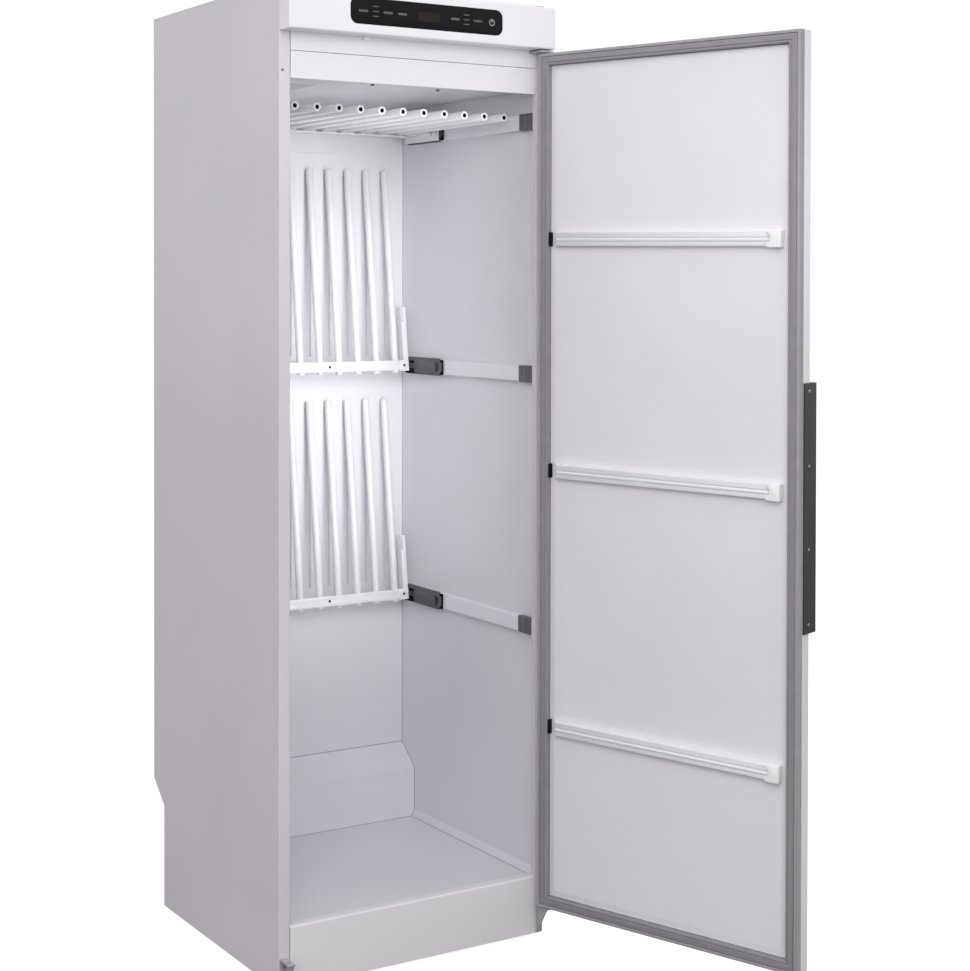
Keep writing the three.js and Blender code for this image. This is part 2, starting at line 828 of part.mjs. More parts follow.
function fanHousing() {
  const [inner, outer] = [ductRadius + gap, ductRadius + gap + ductWall];
  const tube = turned([
    [inner, 0],
    [outer + collarFlange, 0],
    [outer + collarFlange, collarPlate],
    [outer, collarPlate],
    [outer, collarFoot - gap - housingFoot],
    [inner, collarFoot - gap - housingFoot],
  ], 0, ductY, housingFoot);
  const [ringInner, ringOuter] = [motorRadius + gap, motorRadius + gap + motorRim];
  const ring = turned([
    [ringInner, 0],
    [ringOuter, 0],
    [ringOuter, ringHeight],
    [ringInner, ringHeight],
  ], 0, ductY, ringTop - ringHeight);
  const struts = [0, 1, 2].map((i) => {
    const geometry = new THREE.BoxGeometry(inner - ringOuter + 2 * bite, strutWidth, strutHeight);
    geometry.translate((inner + ringOuter) / 2, 0, 0);
    geometry.rotateZ((i * 2 * Math.PI) / 3);
    geometry.translate(0, ductY, ringTop - ringHeight / 2);
    return solid(geometry);
  });
  return join(tube, ring, ...struts);
}

function fanMotor() {
  const shaftFoot = motorFoot - shaftLength;
  const rimFoot = ringTop + gap;
  return turned([
    [0, shaftFoot],
    [shaftRadius, shaftFoot],
    [shaftRadius, motorFoot],
    [motorRadius, motorFoot],
    [motorRadius, rimFoot],
    [motorRadius + motorRim, rimFoot],
    [motorRadius + motorRim, rimFoot + motorRimHeight],
    [motorRadius, rimFoot + motorRimHeight],
    [motorRadius, motorFoot + motorHeight],
    [0, motorFoot + motorHeight],
  ], 0, ductY, 0, 16);
}

/** The impeller about its own axis, with its hub's upper face at height 0. */
function impeller() {
  const boreDepth = shaftLength - hubClearance + gap;
  const hub = turned([
    [0, -hubHeight - hubNose],
    [hubTip, -hubHeight - hubNose],
    [hubRadius, -hubHeight + hubShoulder],
    [hubRadius, 0],
    [shaftRadius + pivotClearance, 0],
    [shaftRadius + pivotClearance, -boreDepth],
    [0, -boreDepth],
  ], 0, 0, 0, 16);
  const bladeReach = ductRadius - tipClearance - hubRadius;
  const blades = Array.from({ length: bladeCount }, (_, i) => {
    const geometry = new THREE.BoxGeometry(bladeReach + bladeRoot, bladeChord, bladeThickness);
    geometry.rotateX(THREE.MathUtils.degToRad(bladePitch));
    geometry.translate(hubRadius + (bladeReach - bladeRoot) / 2, 0, -hubHeight / 2);
    geometry.rotateZ((i * 2 * Math.PI) / bladeCount);
    return solid(geometry);
  });
  return join(hub, ...blades);
}

function exhaustCollar() {
  const [inner, outer] = [ductRadius - ductWall, ductRadius];
  const top = bodyHeight + collarRise;
  const seat = bodyHeight + gap;
  return turned([
    [inner, collarFoot],
    [outer, collarFoot],
    [outer, seat],
    [outer + collarFlange, seat],
    [outer + collarFlange, seat + collarPlate],
    [outer, seat + collarPlate],
    [outer, top],
    [inner, top],
  ], 0, ductY, 0);
}

function heaterElement() {
  const [foot, top] = [ceilingTop + gap, ceilingTop + gap + heaterHeight];
  const [x0, x1] = [heaterX - heaterWidth / 2, heaterX + heaterWidth / 2];
  const [y0, y1] = [heaterY - heaterLength / 2, heaterY + heaterLength / 2];
  const hollow = block(
    [x0 + finThickness, x1 - finThickness],
    [y0 + finThickness, y1 - finThickness],
    [foot - past, top + past],
  );
  const frame = cut(block([x0, x1], [y0, y1], [foot, top]), hollow);
  const count = Math.floor((heaterLength - finPitch) / finPitch);
  const fins = Array.from({ length: count }, (_, i) => {
    const y = y0 + finPitch * (i + 1);
    return block([x0 + bite, x1 - bite], [y, y + finThickness], [foot + finThickness, top - finThickness]);
  });
  return join(frame, ...fins);
}

function cordGland() {
  const inside = sheet + inletTail;
  return turned([
    [inletBore, -inside],
    [inletBody, -inside],
    [inletBody, gap],
    [inletRim, gap],
    [inletRim, gap + inletRimHeight],
    [inletBody, gap + inletRimHeight],
    [inletBody - inletTaper, inletLength],
    [inletBore, inletLength],
  ], 0, 0, 0, 16);
}

// ---------------------------------------------------------------- rails and racks

function rackRail(side) {
  const [face, wall] = [side * railInner, side * (liningHalfWidth - gap)];
  const half = railHeight / 2;
  const section = bent([
    [wall, half],
    [face, half],
    [face, -half],
    [wall, -half],
  ], bendRadius);
  return alongY(folded(section, side * railWall), capFront + capLength + gap, railRear);
}

function railEndCap(side) {
  const [inner, wall] = [railInner - capProud, liningHalfWidth - gap];
  const shape = roundedRect(wall - inner, railHeight + 2 * capProud, capRound, side * (inner + wall) / 2, 0);
  const line = capFront + capLine;
  const groove = block(
    [side * (inner - past), side * (inner + capLineDepth)],
    [line, line + capLineWidth],
    [-railHeight, railHeight],
  );
  return cut(alongY(shape, capFront, capFront + capLength, 1), groove);
}

/** A channel around the rail, with a pad that runs along its face and a ledge underneath. */
function rackCarriage(side) {
  const half = railHeight / 2 + gap;
  const [front, rear] = [carriageRear - carriageLength, carriageRear];
  const [web, hook] = [side * carriageInner, side * (railInner + carriageHook)];
  const section = [
    [hook, half + carriageWall],
    [web, half + carriageWall],
    [web, -half - carriageWall],
    [hook, -half - carriageWall],
  ];
  const shell = alongY(folded(section, side * carriageWall), front, rear);
  const pad = block(
    [side * (carriageInner + carriageWall - bite), side * (railInner - gap)],
    [front + carriageMouth, rear],
    [-padHeight / 2, padHeight / 2],
  );
  const ledge = alongZ(outline([
    [side * (carriageInner + bite), front],
    [side * (carriageInner - ledgeWidth), rear - ledgeRear],
    [side * (carriageInner - ledgeWidth), rear],
    [side * (carriageInner + bite), rear],
  ]), -half - carriageWall, -half);
  const mouth = new THREE.Shape();
  mouth.absellipse(front, 0, carriageMouth, half * carriageMouthShare, 0, 2 * Math.PI);
  const [near, far] = [carriageInner - past, carriageInner + carriageWall + pinGrip];
  const frontMouth = alongX(mouth, side * near, side * far, 5);
  const bore = bar(
    pivotRadius + pivotClearance,
    at(side > 0 ? near : -far, pivotY, 0),
    axisX,
    far - near,
    rodSides,
  );
  const windowShape = roundedRect(windowLength, windowHeight, windowRound, front + windowInset, 0);
  const window = alongX(windowShape, side * near, side * (carriageInner + windowDepth), 3);
  return cut(join(shell, pad, ledge), frontMouth, bore, window);
}

function rodPlaces() {
  const first = -((rodCount - 1) * rodSpacing) / 2;
  return Array.from({ length: rodCount }, (_, i) => first + i * rodSpacing);
}

/** The welded rack about its fold axis, with its rods lying level and pointing forwards. */
function rackWeldment() {
  const back = axisY.clone().negate();
  const tubes = rodPlaces().map((x) => {
    const length = rodStub + rodReach;
    const outer = bar(rodRadius, at(x, rodStub, rodRise), back, length, rodSides);
    const inner = bar(rodBore, at(x, rodStub + past, rodRise), back, length + 2 * past, boreSides);
    return { outer, inner };
  });
  const barTop = rodRise - rodRadius + weldSink;
  const barFoot = barTop - barThickness;
  const crossBar = block([-barHalfLength, barHalfLength], [-barWidth / 2, barWidth / 2], [barFoot, barTop]);
  const inner = barHalfLength - bracketFlange;
  const [tip, rear] = [barWidth / 2 - bracketLength, barWidth / 2];
  const ends = Object.values(sides).flatMap((side) => {
    const web = block(
      [side * inner, side * (inner + bracketWall)],
      [tip, rear],
      [barFoot, barFoot + bracketDepth],
    );
    const flange = block(
      [side * inner, side * barHalfLength],
      [tip, rear],
      [barFoot, barFoot + bracketWall],
    );
    const [pinInner, pinOuter] = [barHalfLength - pinGrip, carriageInner + pinGrip];
    const pinStart = side > 0 ? pinInner : -pinOuter;
    const pin = bar(pivotRadius, at(pinStart, 0, 0), axisX, pinOuter - pinInner, rodSides);
    return [web, flange, pin];
  });
  const notches = Object.values(sides).map((side) => block(
    [side * (inner - past), side * (inner + notchDepth)],
    [tip + notchInset, tip + notchInset + bracketNotch],
    [barFoot - past, barFoot + bracketWall + 2 * past],
  ));
  const welded = join(crossBar, ...ends, ...tubes.map((tube) => tube.outer));
  return cut(welded, ...tubes.map((tube) => tube.inner), ...notches);
}

// ---------------------------------------------------------------- door

/** Everything of the door is built as it stands when closed. */
function doorOuterPan() {
  const depth = doorFront - doorBack;
  const middle = -(doorFront + doorBack) / 2;
  const outer = alongZ(frontRounded(cabinetWidth, depth, doorRound, middle), doorBottom, doorTop, 3);
  const inner = block(
    [sheet - halfWidth, halfWidth - sheet],
    [sheet - doorFront, past - doorBack],
    [doorBottom + sheet, doorTop - sheet],
  );
  const pinHoles = [doorBottom, doorTop].map((z) => (
    bar(hingePin + gap, at(hingeX, hingeY, z - beyond), axisZ, 2 * beyond, 16)
  ));
  return cut(outer, inner, ...pinHoles);
}

/** A rectangle in (x, y) with only its two front corners round. */
function frontRounded(width, depth, radius, middle) {
  const [left, right, front, rear] = [-width / 2, width / 2, middle - depth / 2, middle + depth / 2];
  const shape = new THREE.Shape();
  shape.moveTo(left + radius, front);
  shape.lineTo(right - radius, front);
  shape.absarc(right - radius, front + radius, radius, -Math.PI / 2, 0);
  shape.lineTo(right, rear);
  shape.lineTo(left, rear);
  shape.lineTo(left, front + radius);
  shape.absarc(left + radius, front + radius, radius, Math.PI, Math.PI * 1.5);
  return shape;
}

/** The chamber side of the inner panel, from its field out to its rim. */
function panelFace() {
  const rim = gasketWidth + gasketSeam + rimWidth;
  const bend = Array.from({ length: fieldSteps + 1 }, (_, i) => {
    const share = 1 - i / fieldSteps;
    const rise = (1 - Math.cos(Math.PI * share)) / 2;
    return [rim + share * fieldCurve, rise * (fieldY + doorBack) - doorBack];
  });
  return [...bend, [sheet + gap, -doorBack]];
}

function doorInnerPanel() {
  const back = panelFace().reverse().map(([inset, y]) => [inset, y - panelWall]);
  return rectangleLoft(cabinetWidth, doorBottom, doorTop, [...panelFace(), ...back], false);
}

function doorGasket() {
  const [seat, face] = [gap - doorBack, -gap];
  const bead = gasketWidth - gasketBead;
  const profile = [
    [gap, seat],
    [gap, face - gasketRound],
    [gap + gasketRound, face],
    [gasketBand, face],
    [gasketBand + gasketGroove / 2, face - gasketGrooveDepth],
    [gasketBand + gasketGroove, face],
    [bead - gasketGroove, face],
    [bead - gasketGroove / 2, face - gasketGrooveDepth],
    [bead, face],
    [gasketWidth - gasketRound, face],
    [gasketWidth, face - gasketRound],
    [gasketWidth, seat],
  ];
  return rectangleLoft(cabinetWidth, doorBottom, doorTop, profile, true);
}

/** What the hanging rails have to stay clear of: the inner panel, grown by the gap. */
function panelClearance() {
  const face = panelFace().map(([inset, y]) => [inset, y + gap]);
  const [rimInset] = face[face.length - 1];
  return rectangleLoft(cabinetWidth, doorBottom, doorTop, [...face, [rimInset, -doorFront]], false);
}

function hangerSection(grow) {
  const [radius, shoulder] = [hangerPitch / 2, hangerShoulder - hangerPitch / 2];
  const half = 1.5 * hangerPitch + grow;
  const shape = new THREE.Shape();
  shape.moveTo(-doorBack, -half);
  if (grow > 0) {
    const nose = hangerNose + grow;
    shape.lineTo(nose - radius, -half);
    shape.absarc(nose - radius, -half + radius, radius, -Math.PI / 2, 0);
    shape.lineTo(nose, half - radius);
    shape.absarc(nose - radius, half - radius, radius, 0, Math.PI / 2);
  } else {
    shape.lineTo(shoulder, -half);
    shape.absarc(shoulder, -hangerPitch, radius, -Math.PI / 2, Math.PI / 2);
    shape.lineTo(hangerNose - radius, -radius);
    shape.absarc(hangerNose - radius, 0, radius, -Math.PI / 2, Math.PI / 2);
    shape.lineTo(shoulder, radius);
    shape.absarc(shoulder, hangerPitch, radius, -Math.PI / 2, Math.PI / 2);
  }
  shape.lineTo(-doorBack, half);
  return shape;
}

function doorHanger(level) {
  const [start, end] = [halfWidth - hangerStart, hangerEndInset - halfWidth];
  const rail = alongX(hangerSection(0), start, end + hangerCapProud, 4);
  const half = 1.5 * hangerPitch + hangerCapProud;
  const capOutline = outline([
    [end, -half],
    [end, half],
    [end + hangerCapLength, half],
    [end + hangerCapLength - hangerCapNotch, hangerPitch / 2],
    [end + hangerCapLength - hangerCapNotch, -hangerPitch / 2],
    [end + hangerCapLength, -half],
  ]);
  const capLengthways = alongX(hangerSection(hangerCapProud), end, end + hangerCapLength, 4);
  const cap = alongY(capOutline, -doorFront, hangerNose + beyond).intersect(capLengthways);
  const geometry = geometryOf(join(rail, cap)).translate(0, 0, level);
  geometry.deleteAttribute('normal');
  return cut(solid(geometry), panelClearance());
}

function doorHandle() {
  const [edge, front] = [-halfWidth - gap - handleWall, -doorFront - handleReach];
  const section = bent([
    [edge, handleOverlap - doorFront],
    [edge, front],
    [edge + handleLip, front],
    [edge + handleLip, front + handleHem],
  ], bendRadius, 3);
  return alongZ(folded(section, handleWall), handleBottom, handleTop);
}

// ---------------------------------------------------------------- hinge brackets

/** A lower bracket: a top plate, a plate on the flange and a side gusset. */
function lowerBracketBody(side) {
  const width = [side * bracketInner, side * bracketOuter];
  const plate = block(width, [-bracketReach, -gap], [bracketTop - bracketPlate, bracketTop]);
  const backPlate = block(width, [-gap - gussetWall, -gap], [bracketFoot, bracketTop]);
  const gusset = alongX(
    outline([
      [-bracketReach, bracketTop],
      [-gap, bracketTop],
      [-gap, bracketFoot],
      [-gap - gussetWall, bracketFoot],
    ]),
    side * bracketInner,
    side * (bracketInner + gussetWall),
  );
  return join(plate, backPlate, gusset);
}

function lowerHingeBracket() {
  const pinFoot = bracketTop - bite;
  const pin = bar(hingePin, at(hingeX, hingeY, pinFoot), axisZ, hingePinLength + bite, 16);
  return join(lowerBracketBody(1), pin);
}

function spareHingeBracket() {
  const hole = bar(hingePin + gap, at(-hingeX, hingeY, bracketTop - beyond), axisZ, 2 * beyond, 16);
  return cut(lowerBracketBody(-1), hole);
}

function upperHingeBracket() {
  const width = [upperPlateInner, upperPlateOuter];
  const plateTop = upperPlateLevel + bracketPlate;
  const plate = block(width, [-bracketReach, -gap], [upperPlateLevel, plateTop]);
  const tab = block(width, [-gap - gussetWall, -gap], [upperPlateLevel, plateTop + upperTabRise]);
  const pinFoot = doorTop - sheet - hingePinGrip;
  const pin = bar(hingePin, at(hingeX, hingeY, pinFoot), axisZ, upperPlateLevel + bite - pinFoot, 16);
  return join(plate, tab, pin);
}

// ---------------------------------------------------------------- put together

function addShell() {
  for (const [name, side] of Object.entries(sides)) {
    add(cabinet, `side_panel_${name}`, sidePanel(side), greyEnamel);
    add(cabinet, `inner_wall_${name}`, liningWall(side), liningEnamel);
  }
  add(cabinet, 'rear_panel', rearPanel(), greyEnamel);
  add(cabinet, 'top_panel', topPanel(), whiteEnamel);
  add(cabinet, 'base_pan', basePan(), zincSteel);
  add(cabinet, 'plinth', plinth(), whiteEnamel);
  add(cabinet, 'lintel_lower', lintelLower(), whiteEnamel);
  add(cabinet, 'lintel_upper', lintelUpper(), whiteEnamel);
  add(cabinet, 'inner_rear_wall', innerRearWall(), liningEnamel);
  add(cabinet, 'inner_rear_step', innerRearStep(), liningEnamel);
  add(cabinet, 'ceiling_panel', ceilingPanel(), liningEnamel);
  add(cabinet, 'floor_tray', floorTray(), liningEnamel);
  add(cabinet, 'rear_air_cover', rearAirCover(), liningEnamel);
  const foot = levellingFoot();
  const names = ['front_left', 'front_right', 'rear_left', 'rear_right'];
  footPlaces().forEach(([x, y], i) => {
    add(cabinet, `levelling_foot_${names[i]}`, foot, blackPlastic, at(x, y, 0));
  });
}

function addControls() {
  add(cabinet, 'fascia', fascia(), whiteEnamel);
  add(cabinet, 'control_glass', controlGlass(), blackGlass);
  add(cabinet, 'control_board', controlBoard(), boardResin);
  add(cabinet, 'door_sensor', doorSensor(), whitePlastic);
}

function addAirSystem() {
  add(cabinet, 'fan_housing', fanHousing(), zincSteel);
  add(cabinet, 'fan_motor', fanMotor(), motorSteel);
  add(cabinet, 'impeller', impeller(), blackPlastic, at(0, ductY, motorFoot - hubClearance));
  add(cabinet, 'heater_element', heaterElement(), zincSteel);
  add(cabinet, 'exhaust_collar', exhaustCollar(), zincSteel);
  const gland = add(cabinet, 'cord_gland', cordGland(), blackPlastic, at(inletX, backRecess, inletLevel));
  gland.rotation.x = -Math.PI / 2;
}

function addBrackets() {
  add(cabinet, 'lower_hinge_bracket', lowerHingeBracket(), whiteEnamel);
  add(cabinet, 'spare_hinge_bracket', spareHingeBracket(), whiteEnamel);
  add(cabinet, 'upper_hinge_bracket', upperHingeBracket(), whiteEnamel);
}

function addRacks() {
  const rack = rackWeldment();
  for (const [level, height] of Object.entries(railLevels)) {
    for (const [name, side] of Object.entries(sides)) {
      const place = at(0, 0, height);
      add(cabinet, `rack_rail_${level}_${name}`, rackRail(side), rackEnamel, place);
      add(cabinet, `rail_end_cap_${level}_${name}`, railEndCap(side), capPlastic, place);
      add(cabinet, `rack_carriage_${level}_${name}`, rackCarriage(side), carriageSteel, place);
    }
    const fold = new THREE.Group();
    fold.position.set(0, pivotY, height);
    fold.rotation.x = level === 'upper' ? 0 : -(Math.PI / 2 + foldLean);
    cabinet.add(fold);
    add(fold, `rack_${level}`, rack, rackEnamel);
  }
}

function addDoor() {
  const hinge = new THREE.Group();
  hinge.position.set(hingeX, hingeY, 0);
  hinge.rotation.z = THREE.MathUtils.degToRad(doorAngle);
  cabinet.add(hinge);
  const closed = at(-hingeX, -hingeY, 0);
  add(hinge, 'door_outer_pan', doorOuterPan(), whiteEnamel, closed);
  add(hinge, 'door_inner_panel', doorInnerPanel(), liningEnamel, closed);
  add(hinge, 'door_gasket', doorGasket(), gasketRubber, closed);
  add(hinge, 'door_handle', doorHandle(), handleCoat, closed);
  for (const [level, drop] of Object.entries(hangerDrops)) {
    add(hinge, `door_hanger_${level}`, doorHanger(doorTop - drop), rackEnamel, closed);
  }
}

addShell();
addControls();
addAirSystem();
addBrackets();
addRacks();
addDoor();

// The finished part stands on Z = 0, with its origin under the middle of its bounding box.
const bounds = new THREE.Box3().setFromObject(cabinet, true);
const middle = bounds.getCenter(new THREE.Vector3());
cabinet.position.set(-middle.x, -middle.y, -bounds.min.z);

export default cabinet;
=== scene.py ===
"""Drying cabinet: the finished look of every surface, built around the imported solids.

Pieces are modelled in millimetres of the cabinet: X from its middle to the hinge side, Y from its
front plane to the rear, Z up from the lower edge of its sheet metal. settle() then puts each piece
at its place in the frame, in metres.
"""

import math

import bpy
from mathutils import Matrix, Vector


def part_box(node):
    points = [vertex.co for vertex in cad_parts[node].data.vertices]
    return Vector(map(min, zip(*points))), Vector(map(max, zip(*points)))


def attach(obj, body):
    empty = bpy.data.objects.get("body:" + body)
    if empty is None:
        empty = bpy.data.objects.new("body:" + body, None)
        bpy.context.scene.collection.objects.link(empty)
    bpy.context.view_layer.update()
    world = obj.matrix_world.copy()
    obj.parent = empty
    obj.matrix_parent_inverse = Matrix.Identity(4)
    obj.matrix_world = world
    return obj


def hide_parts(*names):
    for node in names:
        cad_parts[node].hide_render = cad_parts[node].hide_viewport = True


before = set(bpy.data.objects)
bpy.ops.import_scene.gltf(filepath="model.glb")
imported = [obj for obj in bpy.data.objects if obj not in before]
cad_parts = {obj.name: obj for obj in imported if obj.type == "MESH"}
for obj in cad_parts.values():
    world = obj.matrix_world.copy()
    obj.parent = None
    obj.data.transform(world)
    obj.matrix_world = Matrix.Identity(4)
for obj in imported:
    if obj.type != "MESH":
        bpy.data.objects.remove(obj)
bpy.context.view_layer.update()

# ---------------------------------------------------------------- sizes, in millimetres

MM = 0.001
HALF_WIDTH = 297.5
OPENING_LEFT, OPENING_RIGHT = -274.5, 278.5
DEPTH = 610.0
SHEET = 1.2
GAP = 0.3

HINGE = Vector((291.0, -26.0, 0.0))
DOOR_ANGLE = math.radians(108.5)
DOOR_BOTTOM, DOOR_TOP = 66.0, 1788.0
DOOR_FRONT, DOOR_BACK = -42.0, -17.0
GASKET_WIDTH = 24.0
FIELD_Y = -10.0
FIELD_CURVE = 15.0

LEVELS = {"lower": 624.0, "middle": 1140.5, "upper": 1657.0}
PIVOT_Y = 497.0
FOLD = math.radians(-96.797)
ROD_SPACING = 47.5
ROD_COUNT = 11
ROD_RADIUS = 8.0
ROD_BORE = 4.5
ROD_RISE = 7.5
ROD_REACH = 442.0
ROD_STUB = 16.0
BAR_HALF = 267.0
BAR_WIDTH = 22.0
BAR_THICK = 2.4
BRACKET_LENGTH = 142.0
BAR_HOLE_X, BAR_HOLE_RADIUS = 256, 3.2

LINING_HALF = 292.0
LINING_REAR = 565
CEILING = 1722
STEP_FACE, STEP_TOP, STEP_EDGE = 508, 271, 223.5
SKIRT_HALF, SKIRT_TOP = 284, 128
FLOOR_LEVEL, FLOOR_FRONT = 112, 14
RAIL_INNER = 280.0
RAIL_HEIGHT = 33.0
CARRIAGE_INNER = 275.0
CARRIAGE_FRONT, CARRIAGE_REAR = 362.0, 512.0
CAP_FRONT, CAP_LENGTH = 13.0, 51.0
SEAM_RADIUS = 0.8

GLASS_LEVEL = 1840.0
GLASS_FRONT = -42.0

shell_low, shell_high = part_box("top_panel")
ORIGIN = Vector(((shell_low.x + shell_high.x) / 2, shell_low.y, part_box("plinth")[0].z))
PLACE = Matrix.Translation(ORIGIN) @ Matrix.Scale(MM, 4)
DOOR_PLACE = (
    PLACE @ Matrix.Translation(HINGE) @ Matrix.Rotation(DOOR_ANGLE, 4, "Z") @ Matrix.Translation(-HINGE)
)


def rack_place(level):
    """Where a rack's own millimetres lie: its fold axis is the X axis, and its rods point to -Y."""
    turn = 0.0 if level == "upper" else FOLD
    return PLACE @ Matrix.Translation((0, PIVOT_Y, LEVELS[level])) @ Matrix.Rotation(turn, 4, "X")


# ---------------------------------------------------------------- camera

CAMERA_SPOT = Vector((-1794.0, -3067.8, 1329.2))
CAMERA_YAW = 0.5621
CAMERA_PITCH = -0.0138
CAMERA_ROLL = 0.0019
FOCAL_PIXELS = 1821.34
CENTRE_X, CENTRE_Y = 477.14, 307.0
IMAGE_WIDTH, IMAGE_HEIGHT = 970, 971
SENSOR = 36.0

SIDE_LIGHT = (0.90, 0.89, 0.91)
ROOM_LIGHT = (0.92, 0.92, 0.94)
FLOOR_GLOW = (0.94, 0.94, 0.94)


def make_camera():
    data = bpy.data.cameras.new("camera")
    camera = bpy.data.objects.new("camera", data)
    bpy.context.scene.collection.objects.link(camera)
    bpy.context.scene.camera = camera
    data.sensor_width = SENSOR
    data.lens = FOCAL_PIXELS / IMAGE_HEIGHT * SENSOR
    data.shift_x = (IMAGE_WIDTH / 2 - CENTRE_X) / IMAGE_HEIGHT
    data.shift_y = (CENTRE_Y - IMAGE_HEIGHT / 2) / IMAGE_HEIGHT
    data.clip_start, data.clip_end = 0.05, 100
    level = Vector((math.sin(CAMERA_YAW), math.cos(CAMERA_YAW), 0))
    side = Vector((math.cos(CAMERA_YAW), -math.sin(CAMERA_YAW), 0))
    ahead = level * math.cos(CAMERA_PITCH) + Vector((0, 0, 1)) * math.sin(CAMERA_PITCH)
    above = Vector((0, 0, 1)) * math.cos(CAMERA_PITCH) - level * math.sin(CAMERA_PITCH)
    right = side * math.cos(CAMERA_ROLL) + above * math.sin(CAMERA_ROLL)
    up = above * math.cos(CAMERA_ROLL) - side * math.sin(CAMERA_ROLL)
    turn = Matrix((right, up, -ahead)).transposed().to_4x4()
    camera.matrix_world = Matrix.Translation(PLACE @ CAMERA_SPOT) @ turn


# ---------------------------------------------------------------- materials


class Nodes:
    """A material's node tree, with its shader ready to be fed."""

    def __init__(self, name, colour, roughness, **sockets):
        self.material = bpy.data.materials.new(name)
        self.material.use_nodes = True
        self.tree = self.material.node_tree
        self.shader = self.tree.nodes["Principled BSDF"]
        self.set("Base Color", (*colour, 1))
        self.set("Roughness", roughness)
        for socket, value in sockets.items():
            self.set(socket.replace("_", " "), value)
        self.place = self.add("ShaderNodeTexCoord").outputs["Object"]

    def set(self, socket, value):
        self.shader.inputs[socket].default_value = value

    def add(self, kind, **values):
        node = self.tree.nodes.new(kind)
        for key, value in values.items():
            setattr(node, key, value)
        return node

    def link(self, start, end):
        self.tree.links.new(start, end)

    def noise(self, scale, detail=2.0, stretch=(1, 1, 1)):
        """Noise over the object's own coordinates, in bumps per metre."""
        mapping = self.add("ShaderNodeMapping")
        mapping.inputs["Scale"].default_value = stretch
        self.link(self.place, mapping.inputs["Vector"])
        node = self.add("ShaderNodeTexNoise")
        node.inputs["Scale"].default_value = scale
        node.inputs["Detail"].default_value = detail
        self.link(mapping.outputs["Vector"], node.inputs["Vector"])
        return node.outputs["Fac"]

    def ramp(self, factor, stops):
        node = self.add("ShaderNodeValToRGB")
        first, last = node.color_ramp.elements
        first.position, first.color = stops[0][0], (*stops[0][1], 1)
        last.position, last.color = stops[-1][0], (*stops[-1][1], 1)
        for position, colour in stops[1:-1]:
            node.color_ramp.elements.new(position).color = (*colour, 1)
        self.link(factor, node.inputs["Fac"])
        return node.outputs["Color"]

    def spread(self, factor, low, high):
        node = self.add("ShaderNodeMapRange")
        node.inputs["To Min"].default_value = low
        node.inputs["To Max"].default_value = high
        self.link(factor, node.inputs["Value"])
        return node.outputs["Result"]

    def bump(self, height, strength, distance):
        node = self.add("ShaderNodeBump")
        node.inputs["Strength"].default_value = strength
        node.inputs["Distance"].default_value = distance
        self.link(height, node.inputs["Height"])
        self.link(node.outputs["Normal"], self.shader.inputs["Normal"])


def shade(colour, factor):
    return tuple(min(1.0, part * factor) for part in colour)


def powder_coat(name, colour, roughness=0.38, peel=700.0, depth=0.00004, mottle=0.03):
    """Baked enamel: nearly even colour, a slightly uneven gloss and a fine orange peel."""
    coat = Nodes(name, colour, roughness, Coat_Weight=0.15, Coat_Roughness=0.2)
    tone = coat.ramp(coat.noise(2.5), [(0.3, shade(colour, 1 - mottle)), (0.7, shade(colour, 1 + mottle))])
    coat.link(tone, coat.shader.inputs["Base Color"])
    gloss = coat.spread(coat.noise(9.0), roughness - 0.05, roughness + 0.05)
    coat.link(gloss, coat.shader.inputs["Roughness"])
    coat.bump(coat.noise(peel, detail=1.0), 0.35, depth)
    return coat.material


def soft_rubber(name, colour):
    """Extruded sealing profile: matt, with a fine bump and dust in its tone."""
    rubber = Nodes(name, colour, 0.62, Specular_IOR_Level=0.35)
    tone = rubber.ramp(rubber.noise(40.0, 3.0), [(0.25, shade(colour, 0.93)), (0.75, shade(colour, 1.06))])
    rubber.link(tone, rubber.shader.inputs["Base Color"])
    rubber.bump(rubber.noise(1800.0, 1.0), 0.4, 0.00004)
    return rubber.material


def moulded_plastic(name, colour, roughness=0.5, grain=1500.0, shine=0.5):
    """Injection moulding with a fine spark-eroded grain."""
    plastic = Nodes(name, colour, roughness, Specular_IOR_Level=shine)
    tone = plastic.ramp(plastic.noise(25.0), [(0.3, shade(colour, 0.95)), (0.7, shade(colour, 1.05))])
    plastic.link(tone, plastic.shader.inputs["Base Color"])
    plastic.bump(plastic.noise(grain, 1.0), 0.4, 0.00005)
    return plastic.material


def bare_metal(name, colour, roughness=0.35, stretch=(1, 1, 1)):
    """Zinc-plated or galvanised sheet, with soft spangles in tone and gloss."""
    metal = Nodes(name, colour, roughness, Metallic=0.9)
    spangle = metal.noise(60.0, 3.0, stretch)
    tone = metal.ramp(spangle, [(0.3, shade(colour, 0.85)), (0.7, shade(colour, 1.1))])
    metal.link(tone, metal.shader.inputs["Base Color"])
    gloss = metal.spread(metal.noise(35.0, 2.0, stretch), roughness - 0.08, roughness + 0.12)
    metal.link(gloss, metal.shader.inputs["Roughness"])
    metal.bump(metal.noise(900.0, 1.0, stretch), 0.25, 0.00003)
    return metal.material


def tinted_glass(name, colour):
    """Black printed glass with a clear polished face."""
    glass = Nodes(name, colour, 0.3, Specular_IOR_Level=0.1)
    tone = glass.ramp(glass.noise(6.0), [(0.3, shade(colour, 0.85)), (0.7, shade(colour, 1.2))])
    glass.link(tone, glass.shader.inputs["Base Color"])
    return glass.material


def printed_mark(name, colour, glow):
    """Print or a lit window behind the glass."""
    mark = Nodes(
        name, colour, 0.4, Specular_IOR_Level=0.15, Emission_Color=(*colour, 1), Emission_Strength=glow,
    )
    tone = mark.ramp(mark.noise(300.0), [(0.2, shade(colour, 0.9)), (0.8, colour)])
    mark.link(tone, mark.shader.inputs["Base Color"])
    return mark.material


